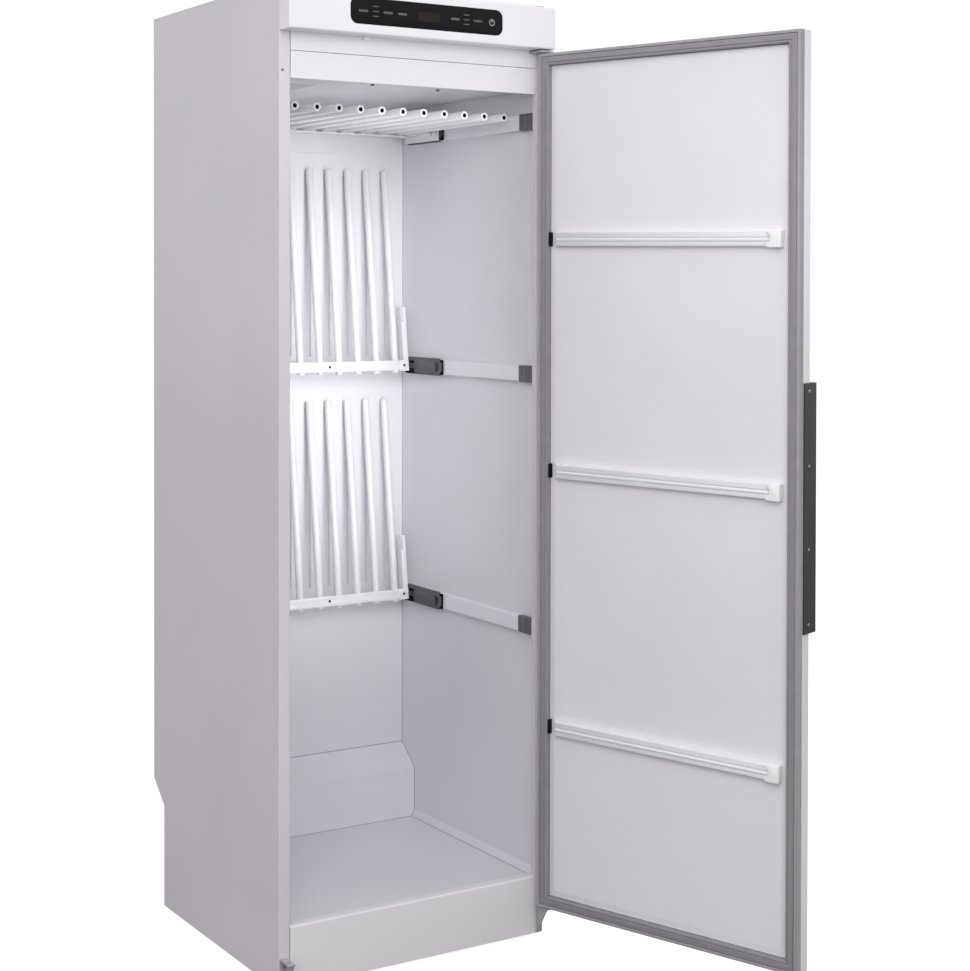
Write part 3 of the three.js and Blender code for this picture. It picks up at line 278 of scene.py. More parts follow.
WHITE = powder_coat("front enamel", (0.84, 0.825, 0.85))
# The plinth takes the front enamel a little darker: painted shade low on the cabinet.
PLINTH_COAT_PAINTED_SHADE = powder_coat("plinth enamel with painted shade", (0.82, 0.795, 0.82))
BRACKET_COAT = powder_coat("bracket enamel", (0.42, 0.41, 0.43))
# The side and rear panels take the white enamel made darker and greyer: painted shade on the sides that face
# away from the light.
SIDE_WHITE_PAINTED_SHADE = powder_coat("side enamel with painted shade", (0.705, 0.675, 0.71), roughness=0.45)
LINING = powder_coat("lining enamel", (0.745, 0.745, 0.78), roughness=0.4)
DOOR_LINING = powder_coat("door lining enamel", (0.84, 0.82, 0.85), roughness=0.42)
RACK_COAT = powder_coat("rack enamel", (0.78, 0.78, 0.80), roughness=0.32, peel=1100.0)
RAIL_COAT = powder_coat("rail enamel", (0.83, 0.825, 0.86), roughness=0.4, peel=1100.0)
HANGER_COAT = powder_coat("hanger enamel", (0.88, 0.87, 0.895), roughness=0.36, peel=1100.0)
CAP_WHITE = moulded_plastic("white moulding", (0.95, 0.945, 0.955), 0.3)
SEAL = soft_rubber("seal rubber", (0.295, 0.28, 0.30))
CAP_GREY = moulded_plastic("grey moulding", (0.11, 0.106, 0.113))
# A lighter copy of the cap moulding, laid in each cap's groove: a painted highlight.
CAP_GROOVE_HIGHLIGHT = moulded_plastic("grey moulding painted highlight", (0.27, 0.26, 0.28))
SLIDE_DARK = powder_coat("dark slide coat", (0.068, 0.064, 0.072), roughness=0.42, peel=1300.0)
HANDLE_DARK = powder_coat("charcoal handle coat", (0.033, 0.029, 0.033), roughness=0.5, peel=1500.0)
BLACK = moulded_plastic("black moulding", (0.02, 0.02, 0.022), 0.45)
# Near-black plastic for the sliders and clips, also used for thin strips that paint shade along the carriage
# edges.
SLIDER_BLACK_AND_EDGE_SHADE = moulded_plastic("black slider and painted edge shade", (0.008, 0.008, 0.009), 0.8, shine=0.1)
GLASS = tinted_glass("control glass black", (0.010, 0.0085, 0.010))
WINDOW = printed_mark("display window", (0.022, 0.017, 0.016), 0.0)
PRINT = printed_mark("grey print", (0.13, 0.125, 0.135), 0.0)
PRINT_BRIGHT = printed_mark("bright print", (0.42, 0.415, 0.43), 0.0)
ZINC = bare_metal("zinc plate", (0.62, 0.63, 0.65))
SCREW_STEEL = bare_metal("screw steel", (0.45, 0.45, 0.47), 0.3)
DARK_STEEL = bare_metal("dark screw steel", (0.20, 0.20, 0.21), 0.35)
RESIN = moulded_plastic("board resin", (0.03, 0.10, 0.05), 0.5)
# Near-black fill set into holes and tube mouths: painted shade inside them.
PAINTED_HOLE_SHADE = moulded_plastic("painted shade in holes", (0.006, 0.006, 0.007), 0.9, shine=0.05)
# Dark grey strips in the lining's corners: partly sealant, partly painted shade where the walls meet.
SEALANT_AND_CORNER_SHADE = moulded_plastic("joint sealant and painted corner shade", (0.30, 0.29, 0.32), 0.7)
# The seal's outer lip takes the seal rubber lighter: painted light on the lip.
SEAL_BAND_PAINTED_LIGHTER = soft_rubber("seal rubber band painted lighter", (0.38, 0.36, 0.38))

# ---------------------------------------------------------------- modelling


def pick(*pieces):
    """Makes these pieces the only selected ones, with the first active."""
    bpy.ops.object.select_all(action="DESELECT")
    for piece in pieces:
        piece.select_set(True)
    bpy.context.view_layer.objects.active = pieces[0]


def edit(piece, kind="VERT"):
    pick(piece)
    bpy.ops.object.mode_set(mode="EDIT")
    bpy.ops.mesh.select_mode(type=kind)
    bpy.ops.mesh.select_all(action="DESELECT")


def done():
    bpy.ops.object.mode_set(mode="OBJECT")


def choose(piece, kind, test):
    """Selects the vertices, edges or faces of a piece that pass a test, and enters edit mode."""
    edit(piece, kind)
    done()
    mesh = piece.data
    items = {"VERT": mesh.vertices, "EDGE": mesh.edges, "FACE": mesh.polygons}[kind]
    for item in items:
        item.select = test(item)
    bpy.ops.object.mode_set(mode="EDIT")


def block(name, low, high):
    """A box to start from, between two corners."""
    low, high = Vector(low), Vector(high)
    bpy.ops.object.select_all(action="DESELECT")
    bpy.ops.mesh.primitive_cube_add(size=1, location=(low + high) / 2)
    piece = bpy.context.active_object
    piece.name = name
    piece.scale = high - low
    bpy.ops.object.transform_apply(location=True, rotation=True, scale=True)
    return piece


def modify(piece, kind, **values):
    """Adds a modifier and applies it at once."""
    pick(piece)
    modifier = piece.modifiers.new(kind.lower(), kind)
    for key, value in values.items():
        setattr(modifier, key, value)
    bpy.ops.object.modifier_apply(modifier=modifier.name)
    return piece


def soften(piece, width, segments=3, angle=35):
    """Rounds every edge that is sharper than an angle."""
    return modify(
        piece, "BEVEL", width=width, segments=segments, limit_method="ANGLE",
        angle_limit=math.radians(angle), harden_normals=False,
    )


def cut(piece, *tools):
    for tool in tools:
        modify(piece, "BOOLEAN", operation="DIFFERENCE", object=tool, solver="EXACT")
        bpy.data.objects.remove(tool)
    return piece


def unite(name, *pieces):
    """Joins pieces into one mesh."""
    if len(pieces) > 1:
        pick(*pieces)
        bpy.ops.object.join()
    pieces[0].name = name
    return pieces[0]


def copied(piece, name, shift=(0, 0, 0)):
    """A copy of a piece, with a mesh of its own, moved by a shift."""
    pick(piece)
    bpy.ops.object.duplicate(linked=False)
    twin = bpy.context.active_object
    twin.name = name
    twin.location = Vector(shift)
    bpy.ops.object.transform_apply(location=True, rotation=False, scale=False)
    return twin


def rod(name, start, end, radius, sides=24, open_ends=False):
    """A round bar between two points."""
    start, end = Vector(start), Vector(end)
    along = end - start
    fill = "NOTHING" if open_ends else "NGON"
    bpy.ops.object.select_all(action="DESELECT")
    bpy.ops.mesh.primitive_cylinder_add(
        vertices=sides, radius=radius, depth=along.length, end_fill_type=fill, location=(start + end) / 2,
        rotation=along.to_track_quat("Z", "Y").to_euler(),
    )
    piece = bpy.context.active_object
    piece.name = name
    bpy.ops.object.transform_apply(location=True, rotation=True, scale=True)
    return piece


def drawn(name, points, closed=False):
    """A line drawn point by point, with a face inside it where it is closed."""
    bpy.ops.object.select_all(action="DESELECT")
    bpy.ops.mesh.primitive_plane_add(size=1, location=(0, 0, 0))
    piece = bpy.context.active_object
    piece.name = name
    bpy.ops.object.mode_set(mode="EDIT")
    bpy.ops.mesh.select_all(action="SELECT")
    bpy.ops.mesh.merge(type="CENTER")
    points = [Vector(point) for point in points]
    bpy.ops.transform.translate(value=points[0])
    for before, after in zip(points, points[1:]):
        bpy.ops.mesh.extrude_region_move(TRANSFORM_OT_translate={"value": after - before})
    if closed:
        bpy.ops.mesh.select_all(action="SELECT")
        bpy.ops.mesh.edge_face_add()
    done()
    return piece


def pulled(piece, shift):
    """Extrudes the whole of a line or face along a shift."""
    edit(piece)
    bpy.ops.mesh.select_all(action="SELECT")
    bpy.ops.mesh.extrude_region_move(TRANSFORM_OT_translate={"value": Vector(shift)})
    done()
    return piece


def revolved(name, points, centre, axis="Z", steps=48):
    """A closed outline of (radius, height) points, spun about an upright or rear-facing axis."""
    centre = Vector(centre)
    rise = Vector((0, 0, 1)) if axis == "Z" else Vector((0, 1, 0))
    across = Vector((1, 0, 0))
    line = [centre + across * radius + rise * height for radius, height in [*points, points[0]]]
    piece = drawn(name, line)
    edit(piece)
    bpy.ops.mesh.select_all(action="SELECT")
    bpy.ops.mesh.spin(steps=steps, angle=2 * math.pi, center=centre, axis=rise)
    bpy.ops.mesh.select_all(action="SELECT")
    bpy.ops.mesh.remove_doubles(threshold=0.001)
    done()
    return piece


def lofted(name, width, low, high, profile, ring):
    """An upright rectangle in XZ, stepped inwards and along Y through (inset, y) points by insets."""
    inset, y = profile[0]
    bpy.ops.object.select_all(action="DESELECT")
    bpy.ops.mesh.primitive_plane_add(size=1, location=(0, y, (low + high) / 2), rotation=(-math.pi / 2, 0, 0))
    piece = bpy.context.active_object
    piece.name = name
    piece.scale = (width - 2 * inset, high - low - 2 * inset, 1)
    bpy.ops.object.transform_apply(location=True, rotation=True, scale=True)
    edit(piece, "FACE")
    bpy.ops.mesh.select_all(action="SELECT")
    for (inset, y), (next_inset, next_y) in zip(profile, profile[1:]):
        if next_inset > inset:
            bpy.ops.mesh.inset(thickness=next_inset - inset, depth=next_y - y)
        else:
            bpy.ops.mesh.extrude_region_move(TRANSFORM_OT_translate={"value": (0, next_y - y, 0)})
    if ring:
        bpy.ops.mesh.delete(type="FACE")
        bpy.ops.mesh.select_mode(type="EDGE")
        bpy.ops.mesh.select_all(action="DESELECT")
        bpy.ops.mesh.select_non_manifold()
        bpy.ops.mesh.bridge_edge_loops()
    done()
    return piece


def round_prism(name, size, radius, centre, depths, segments=8):
    """A plate in XZ with round corners, between two depths in Y."""
    (width, height), (x, z), (y0, y1) = size, centre, depths
    piece = block(name, (x - width / 2, y0, z - height / 2), (x + width / 2, y1, z + height / 2))
    mesh = piece.data

    def runs_deep(edge):
        start, end = (mesh.vertices[i].co for i in edge.vertices)
        return abs(start.y - end.y) > 1e-4 and abs(start.x - end.x) < 1e-4 and abs(start.z - end.z) < 1e-4

    choose(piece, "EDGE", runs_deep)
    bpy.ops.mesh.bevel(offset=radius, segments=segments, affect="EDGES")
    done()
    return piece


def arc(centre, radius, start, end, steps=6):
    """Points of an arc in degrees, as (u, v) pairs."""
    return [
        (
            centre[0] + radius * math.cos(math.radians(start + (end - start) * i / steps)),
            centre[1] + radius * math.sin(math.radians(start + (end - start) * i / steps)),
        )
        for i in range(steps + 1)
    ]


def settle(piece, body, material, place=PLACE, stands_for=(), smooth=32):
    """Puts a finished piece at its place, gives it its finish and lets it ride on its body."""
    pick(piece)
    piece.matrix_world = place
    bpy.ops.object.transform_apply(location=True, rotation=True, scale=True)
    edit(piece)
    bpy.ops.mesh.select_all(action="SELECT")
    bpy.ops.mesh.normals_make_consistent(inside=False)
    done()
    bpy.ops.object.shade_smooth_by_angle(angle=math.radians(smooth))
    piece.data.materials.clear()
    piece.data.materials.append(material)
    piece.data.name = piece.name
    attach(piece, body)
    if stands_for:
        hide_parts(*stands_for)
    return piece


# ---------------------------------------------------------------- solids that stay

KEPT = {
    WHITE: ["top_panel", "lintel_lower", "lintel_upper"],
    BRACKET_COAT: ["lower_hinge_bracket", "spare_hinge_bracket", "upper_hinge_bracket"],
    # side and rear panels: white enamel darkened as painted shade
    SIDE_WHITE_PAINTED_SHADE: ["side_panel_left", "side_panel_right", "rear_panel"],
    LINING: ["inner_wall_left", "inner_wall_right", "inner_rear_wall", "inner_rear_step", "ceiling_panel",
             "floor_tray", "rear_air_cover"],
    RAIL_COAT: [f"rack_rail_{level}_{side}" for level in LEVELS for side in ("left", "right")],
    CAP_WHITE: ["door_sensor"],
    RESIN: ["control_board"],
    ZINC: ["base_pan", "fan_housing", "heater_element"],
    SCREW_STEEL: ["fan_motor"],
    BLACK: ["impeller"],
}


def dress_kept_nodes():
    for material, names in KEPT.items():
        for name in names:
            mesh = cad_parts[name].data
            mesh.materials.clear()
            mesh.materials.append(material)


# ---------------------------------------------------------------- fasteners


def screw_head(name, spot, facing, radius, height=1.6):
    """A low round head with a cross recess, on a face that looks along a unit vector."""
    head = rod(name, (0, 0, -0.5), (0, 0, height), radius, 20)
    soften(head, min(height * 0.6, radius * 0.4), 3)
    slot_width, slot_reach = radius * 0.26, radius * 0.62
    low, high = height * 0.4, height + 1
    cut(
        head,
        block("recess", (-slot_reach, -slot_width / 2, low), (slot_reach, slot_width / 2, high)),
        block("recess", (-slot_width / 2, -slot_reach, low), (slot_width / 2, slot_reach, high)),
    )
    pick(head)
    head.matrix_world = Matrix.Translation(spot) @ Vector(facing).to_track_quat("Z", "Y").to_matrix().to_4x4()
    bpy.ops.object.transform_apply(location=True, rotation=True, scale=True)
    return head


def rivet_head(name, spot, facing, radius, height=1.0):
    head = rod(name, (0, 0, -0.4), (0, 0, height), radius, 16)
    soften(head, height * 0.7, 3)
    pick(head)
    head.matrix_world = Matrix.Translation(spot) @ Vector(facing).to_track_quat("Z", "Y").to_matrix().to_4x4()
    bpy.ops.object.transform_apply(location=True, rotation=True, scale=True)
    return head


# ---------------------------------------------------------------- cabinet front


def make_plinth():
    left, right = OPENING_LEFT + GAP, OPENING_RIGHT - GAP
    line = [(0, 0)] + arc((4, 113), 4, 180, 90, 6) + arc((24, 115), 2, 90, 0, 4) + [(26, 112.3)]
    piece = drawn("plinth_panel", [(left, y, z) for y, z in line])
    pulled(piece, (right - left, 0, 0))
    modify(piece, "SOLIDIFY", thickness=SHEET, offset=1)
    # the plinth's enamel is painted slightly darker, as shade
    settle(piece, "cabinet", PLINTH_COAT_PAINTED_SHADE, stands_for=["plinth"])


def make_fascia():
    piece = block("fascia_moulding", (-HALF_WIDTH, -42, 1797), (HALF_WIDTH, -GAP, 1880))
    mesh = piece.data

    def is_front(edge):
        return all(mesh.vertices[i].co.y < -41 for i in edge.vertices)

    choose(piece, "EDGE", is_front)
    bpy.ops.mesh.bevel(offset=4, segments=5, affect="EDGES")
    done()
    cut(
        piece,
        round_prism("pocket", (340.6, 50.6), 15.3, (0, GLASS_LEVEL), (-60, -38.7)),
        block("hollow", (-295, -36.2, 1799.5), (295, 5, 1877.5)),
        block("notch", (261.7, -3.4, 1790), (295, 5, 1802)),
    )
    settle(piece, "cabinet", WHITE, stands_for=["fascia"])


def make_control_glass():
    piece = round_prism("glass_panel", (340, 50), 15, (0, GLASS_LEVEL), (GLASS_FRONT, -39), 10)
    soften(piece, 0.4, 2, 60)
    settle(piece, "cabinet", GLASS, stands_for=["control_glass"])
    front = (GLASS_FRONT - 0.12, GLASS_FRONT + 0.3)

    def mark(name, x, z, width, height, material, radius=None):
        corner = radius if radius is not None else min(width, height) / 2 - 0.05
        shape = round_prism(name, (width, height), corner, (x, z), front, 4)
        settle(shape, "cabinet", material)

    for i, x in enumerate((-142.6, -89.0, -57.6, 60.6, 112.5)):
        mark(f"key_bar_{i}", x, GLASS_LEVEL, 20, 4.4, PRINT)
    for side, x in (("left", -115.7), ("right", 86.0)):
        for i, z in enumerate((1850.0, 1840.5, 1831.5)):
            mark(f"key_label_{side}_{i}", x, z, 13, 1.9, PRINT, 0.8)
    for i, x in enumerate((107.5, 117.5)):
        mark(f"key_dot_{i}", x, GLASS_LEVEL, 3.4, 3.4, PRINT_BRIGHT)
    mark("display_window", 1.0, 1839.0, 49, 18, WINDOW, 1.5)
    ring = rod("power_ring", (145.2, front[0], 1839.5), (145.2, front[1], 1839.5), 6.4, 32)
    cut(ring, rod("bore", (145.2, -50, 1839.5), (145.2, -30, 1839.5), 4.8, 32))
    stem = block("power_stem", (144.2, front[0], 1840), (146.2, front[1], 1847.5))
    settle(unite("power_mark", ring, stem), "cabinet", PRINT_BRIGHT)


def make_front_screws():
    screws = [
        screw_head("flange_screw", (-291, 0, 1723.5), (0, -1, 0), 2.6, 0.2),
        screw_head("flange_screw_right", (291, 0, 1723.5), (0, -1, 0), 2.6, 0.2),
    ]
    settle(unite("front_screws", *screws), "cabinet", DARK_STEEL)
    rivets = []
    for z in (44.0, 24.0):
        rivets.append(rivet_head("rivet", (289.5, -2.8, z), (0, -1, 0), 2.6))
        rivets.append(rivet_head("rivet", (-289.5, -2.8, z), (0, -1, 0), 2.6))
    settle(unite("bracket_rivets", *rivets), "cabinet", SCREW_STEEL)


# ---------------------------------------------------------------- chamber


def make_chamber_screws():
    """White screws of the step, rivets of the floor skirts and two fixings of the ceiling."""
    heads = []
    for side in (-1, 1):
        heads.append(screw_head("step", (side * 196, LINING_REAR, 276), (0, -1, 0), 3.0))
        heads.append(screw_head("step", (side * 196, STEP_FACE, 219), (0, -1, 0), 3.0))
        heads.append(screw_head("step", (side * 228, STEP_FACE, 123), (0, -1, 0), 2.4))
        for y in (265, 420):
            spot, facing = (side * 288, y, 120), Vector((-side * 16, 0, 8)).normalized()
            heads.append(rivet_head("rivet", spot, facing, 2.2))
    settle(unite("chamber_screws", *heads), "cabinet", LINING)
    spots = ((-34.8, 117.8), (125.6, 132.4))
    fixings = [rod("fixing", (x, y, 1722.4), (x, y, 1719.5), 4.0, 20) for x, y in spots]
    settle(unite("ceiling_fixings", *fixings), "cabinet", SLIDE_DARK)


def make_seams():
    """The sealed joints of the lining, drawn as thin darker lines along its corners: partly the sealant's own
    grey, partly painted shade where the walls meet.
    """
    seams = []
    for side in (-1, 1):
        wall, skirt = side * LINING_HALF, side * SKIRT_HALF
        corners = [
            (wall, LINING_REAR, CEILING), (wall, LINING_REAR, STEP_TOP), (wall, STEP_FACE, STEP_EDGE),
            (wall, STEP_FACE, SKIRT_TOP), (skirt, STEP_FACE, FLOOR_LEVEL), (skirt, FLOOR_FRONT, FLOOR_LEVEL),
        ]
        seams.append(seam_strip(corners[1], corners[0]))
        seams += [seam_strip(start, end) for start, end in zip(corners[1:], corners[2:])]
    seams.append(seam_strip((-SKIRT_HALF, STEP_FACE, FLOOR_LEVEL), (SKIRT_HALF, STEP_FACE, FLOOR_LEVEL)))
    seams.append(seam_strip((-LINING_HALF, LINING_REAR, STEP_TOP), (LINING_HALF, LINING_REAR, STEP_TOP)))
    settle(unite("lining_seams", *seams), "cabinet", SEALANT_AND_CORNER_SHADE)


def seam_strip(start, end):
    return rod("seam", start, end, SEAM_RADIUS, 8)


def make_end_caps():
    for level, height in LEVELS.items():
        for side, sign in (("left", -1), ("right", 1)):
            inner, wall = sign * (RAIL_INNER - 0.5), sign * (LINING_HALF - GAP)
            low = (min(inner, wall), CAP_FRONT, height - 17)
            high = (max(inner, wall), CAP_FRONT + CAP_LENGTH, height + 17)
            cap = soften(block(f"end_cap_{level}_{side}", low, high), 1.6, 3)
            seam = CAP_FRONT + CAP_LENGTH * 0.6
            groove = block("groove", (inner - 0.7, seam, height - 20), (inner + 0.7, seam + 1.6, height + 20))
            cut(cap, groove)
            settle(cap, "cabinet", CAP_GREY, stands_for=[f"rail_end_cap_{level}_{side}"])
            # a lighter strip set in the groove paints a highlight there
            line = block(f"end_cap_highlight_{level}_{side}", (inner - 0.35 * sign, seam + 0.2, height - 16),
                         (inner + 0.6 * sign, seam + 1.4, height + 16))
            settle(line, "cabinet", CAP_GROOVE_HIGHLIGHT)


# ---------------------------------------------------------------- racks


def make_carriage(level, side, sign, body):
    """A channel around the rail with rounded front corners, a black slider inside, thin black strips on its
    edges as painted edge shade, and a foot at its rear.
    """
    half = RAIL_HEIGHT / 2 + GAP + 1.2
    web, hook = sign * CARRIAGE_INNER, sign * (RAIL_INNER + 1.5)
    z = LEVELS[level]
    line = [(hook, z + half), (web, z + half), (web, z - half), (hook, z - half)]
    shell = drawn(f"carriage_{level}_{side}", [(x, CARRIAGE_FRONT, height) for x, height in line])
    pulled(shell, (0, CARRIAGE_REAR - CARRIAGE_FRONT, 0))
    modify(shell, "SOLIDIFY", thickness=1.2, offset=-sign)
    corners = [
        rod("corner", (web - 3 * sign, CARRIAGE_FRONT - 1, z + up),
            (web + 3 * sign, CARRIAGE_FRONT - 1, z + up), 10, 40)
        for up in (-half - 1, half + 1)
    ]
    slits = [
        block("slit", (web - 3, CARRIAGE_REAR - 29, z + low), (web + 3, CARRIAGE_REAR - 10, z + low + 6))
        for low in (-12, 5)
    ]
    start, end = sorted((web + sign * 1.5, hook + sign * 3))
    trim = block("trim", (start, CARRIAGE_FRONT - 1, z - half - 3), (end, CARRIAGE_FRONT + 12, z + half + 3))
    cut(shell, *corners, *slits, trim)
    soften(shell, 0.35, 2)
    settle(shell, body, SLIDE_DARK, stands_for=[f"rack_carriage_{level}_{side}"])

    start, end = sorted((web + sign * 1.3, sign * (RAIL_INNER - GAP)))
    pad = block(f"carriage_slider_{level}_{side}", (start, CARRIAGE_FRONT + 0.4, z - half + 1.3),
                (end, CARRIAGE_REAR - 0.4, z + half - 1.3))
    soften(pad, 0.8, 2)
    # thin black strips on the channel's top, bottom and front edges: painted edge shade
    edge_shade_strips = []
    for low, high in ((half - 1.8, half + 0.1), (-half - 0.1, -half + 1.8)):
        start, end = sorted((web - sign * 0.3, web + sign * 0.5))
        edge_shade_strips.append(block("rim", (start, CARRIAGE_FRONT + 9, z + low), (end, CARRIAGE_REAR, z + high)))
    edge_shade_strips.append(
        block("rim", (start, CARRIAGE_FRONT, z - half + 6), (end, CARRIAGE_FRONT + 1.6, z + half - 6))
    )
    foot_line = [
        (web + sign * 0.5, CARRIAGE_REAR - 36), (web - sign * 6, CARRIAGE_REAR - 18),
        (web - sign * 7, CARRIAGE_REAR), (web + sign * 0.5, CARRIAGE_REAR),
    ]
    foot = drawn(f"carriage_foot_{level}_{side}", [(x, y, z - half + 1) for x, y in foot_line], closed=True)
    pulled(foot, (0, 0, 5))
    soften(foot, 0.4, 2)
    boss_y = CARRIAGE_FRONT + 24
    boss = rod("boss", (web, boss_y, z), (web - 1.2 * sign, boss_y, z), 10, 32)
    cut(boss, rod("well", (web - 3 * sign, boss_y, z), (web + 3 * sign, boss_y, z), 6.4, 32),
        block("gate", (web - 3, boss_y, z - 8), (web + 3, boss_y + 14, z + 8)))
    inner_ring = rod("ring", (web, boss_y, z), (web - 1.0 * sign, boss_y, z), 4.6, 24)
    cut(inner_ring, rod("well", (web - 3 * sign, boss_y, z), (web + 3 * sign, boss_y, z), 2, 24))
    soften(boss, 0.3, 2)
    slider = unite(f"carriage_slider_{level}_{side}", pad, *edge_shade_strips, foot, boss, inner_ring)
    settle(slider, body, SLIDER_BLACK_AND_EDGE_SHADE)


def make_rack(level, body):
    """Rods, bar, brackets and pins of one rack, modelled level with the fold axis as X."""
    place = rack_place(level)
    first = -(ROD_COUNT - 1) * ROD_SPACING / 2
    tube = rod(
        "tube", (first, ROD_STUB, ROD_RISE), (first, -ROD_REACH, ROD_RISE), ROD_RADIUS, 28, open_ends=True,
    )
    modify(tube, "SOLIDIFY", thickness=ROD_RADIUS - ROD_BORE, offset=-1)
    soften(tube, 0.5, 2, 50)
    tubes = [tube] + [copied(tube, "tube", (ROD_SPACING * i, 0, 0)) for i in range(1, ROD_COUNT)]
    settle(unite(f"rack_tubes_{level}", *tubes), body, RACK_COAT, place, [f"rack_{level}"])

    top = ROD_RISE - ROD_RADIUS + 0.2
    foot = top - BAR_THICK
    # black discs inside the tube ends paint the shade in the bores
    bore_shades = [
        rod("bore", (first + ROD_SPACING * i, -ROD_REACH + 1.5, ROD_RISE),
            (first + ROD_SPACING * i, -ROD_REACH + 9, ROD_RISE), ROD_BORE - 0.05, 16)
        for i in range(ROD_COUNT)
    ]
    settle(unite(f"rack_tube_bore_shades_{level}", *bore_shades), body, PAINTED_HOLE_SHADE, place)

    bar = block(f"rack_bar_{level}", (-BAR_HALF, -BAR_WIDTH / 2, foot), (BAR_HALF, BAR_WIDTH / 2, top))
    holes = [
        rod("hole", (x, 0, foot - 3), (x, 0, top + 3), BAR_HOLE_RADIUS, 20)
        for x in (-BAR_HOLE_X, -67.6, 67.6, BAR_HOLE_X)
    ]
    cut(bar, *holes)
    soften(bar, 0.4, 2)
    tabs = []
    for sign in (-1, 1):
        start, end = sorted((sign * 244, sign * BAR_HALF))
        tab = block("tab", (start, -BAR_WIDTH / 2 - 0.8, foot - 1.4), (end, BAR_WIDTH / 2 + 1.5, foot + 0.4))
        hole_x = sign * BAR_HOLE_X
        cut(tab, rod("hole", (hole_x, 0, foot - 5), (hole_x, 0, foot + 5), BAR_HOLE_RADIUS, 20))
        tabs.append(soften(tab, 0.6, 2))
    settle(unite(f"rack_bar_{level}", bar, *tabs), body, RACK_COAT, place)

    # a black strip inside the bar, seen through its holes: painted shade in the holes
    hole_shade_backing = block(f"rack_bar_hole_shades_{level}", (-259, -3, top - 0.6), (259, 3, top - 0.4))
    settle(hole_shade_backing, body, PAINTED_HOLE_SHADE, place)
    for side, sign in (("left", -1), ("right", 1)):
        inner, outer, hole_x = sign * (BAR_HALF - 12), sign * BAR_HALF, sign * BAR_HOLE_X
        tip = BAR_WIDTH / 2 - BRACKET_LENGTH
        if level == "upper":
            make_side_plate(level, side, sign, tip, body, place)
        line = [(outer, foot), (inner, foot), (inner, foot + 18)]
        angle = drawn(f"rack_bracket_{level}_{side}", [(x, BAR_WIDTH / 2, z) for x, z in line])
        pulled(angle, (0, tip - BAR_WIDTH / 2, 0))
        modify(angle, "SOLIDIFY", thickness=2, offset=sign)
        notch_low, notch_high = sorted((inner - sign * 3, inner + sign * 4))
        cut(angle, block("notch", (notch_low, tip + 6, foot - 3), (notch_high, tip + 22, foot + 5)),
            block("notch", (notch_low, tip + 26, foot - 3), (notch_high, tip + 32, foot + 4)),
            rod("hole", (hole_x, 0, foot - 5), (hole_x, 0, foot + 5), BAR_HOLE_RADIUS, 20))
        soften(angle, 0.4, 2)
        settle(angle, body, RACK_COAT, place)
        pin_start, pin_end = (sign * (BAR_HALF - 1), 0, 0), (sign * (CARRIAGE_INNER + 1), 0, 0)
        pin = rod(f"rack_pin_{level}_{side}", pin_start, pin_end, 4, 20)
        settle(pin, body, SLIDE_DARK, place)


def make_side_plate(level, side, sign, tip, body, place):
    """The deeper plate at each end of the fixed upper rack, with its two small holes."""
    start, end = sorted((sign * (BAR_HALF - 1), sign * (BAR_HALF + 1)))
    plate = block(f"rack_side_plate_{level}_{side}", (start, tip, -17.2), (end, BAR_WIDTH / 2, 9))
    spots = [Vector((sign * BAR_HALF, y, -3)) for y in (tip + 9, tip + 28)]
    reach = Vector((4, 0, 0))
    cut(plate, *[rod("hole", spot - reach, spot + reach, 2.2, 16) for spot in spots])
    soften(plate, 0.4, 2)
    settle(plate, body, RAIL_COAT, place)
    # black plugs in the two holes: painted shade inside them
    hole_shade_plugs = [rod("plug", spot - reach * 0.15, spot + reach * 0.15, 2.15, 16) for spot in spots]
    settle(unite(f"rack_plate_holes_{level}_{side}", *hole_shade_plugs), body, PAINTED_HOLE_SHADE, place)


# ---------------------------------------------------------------- door


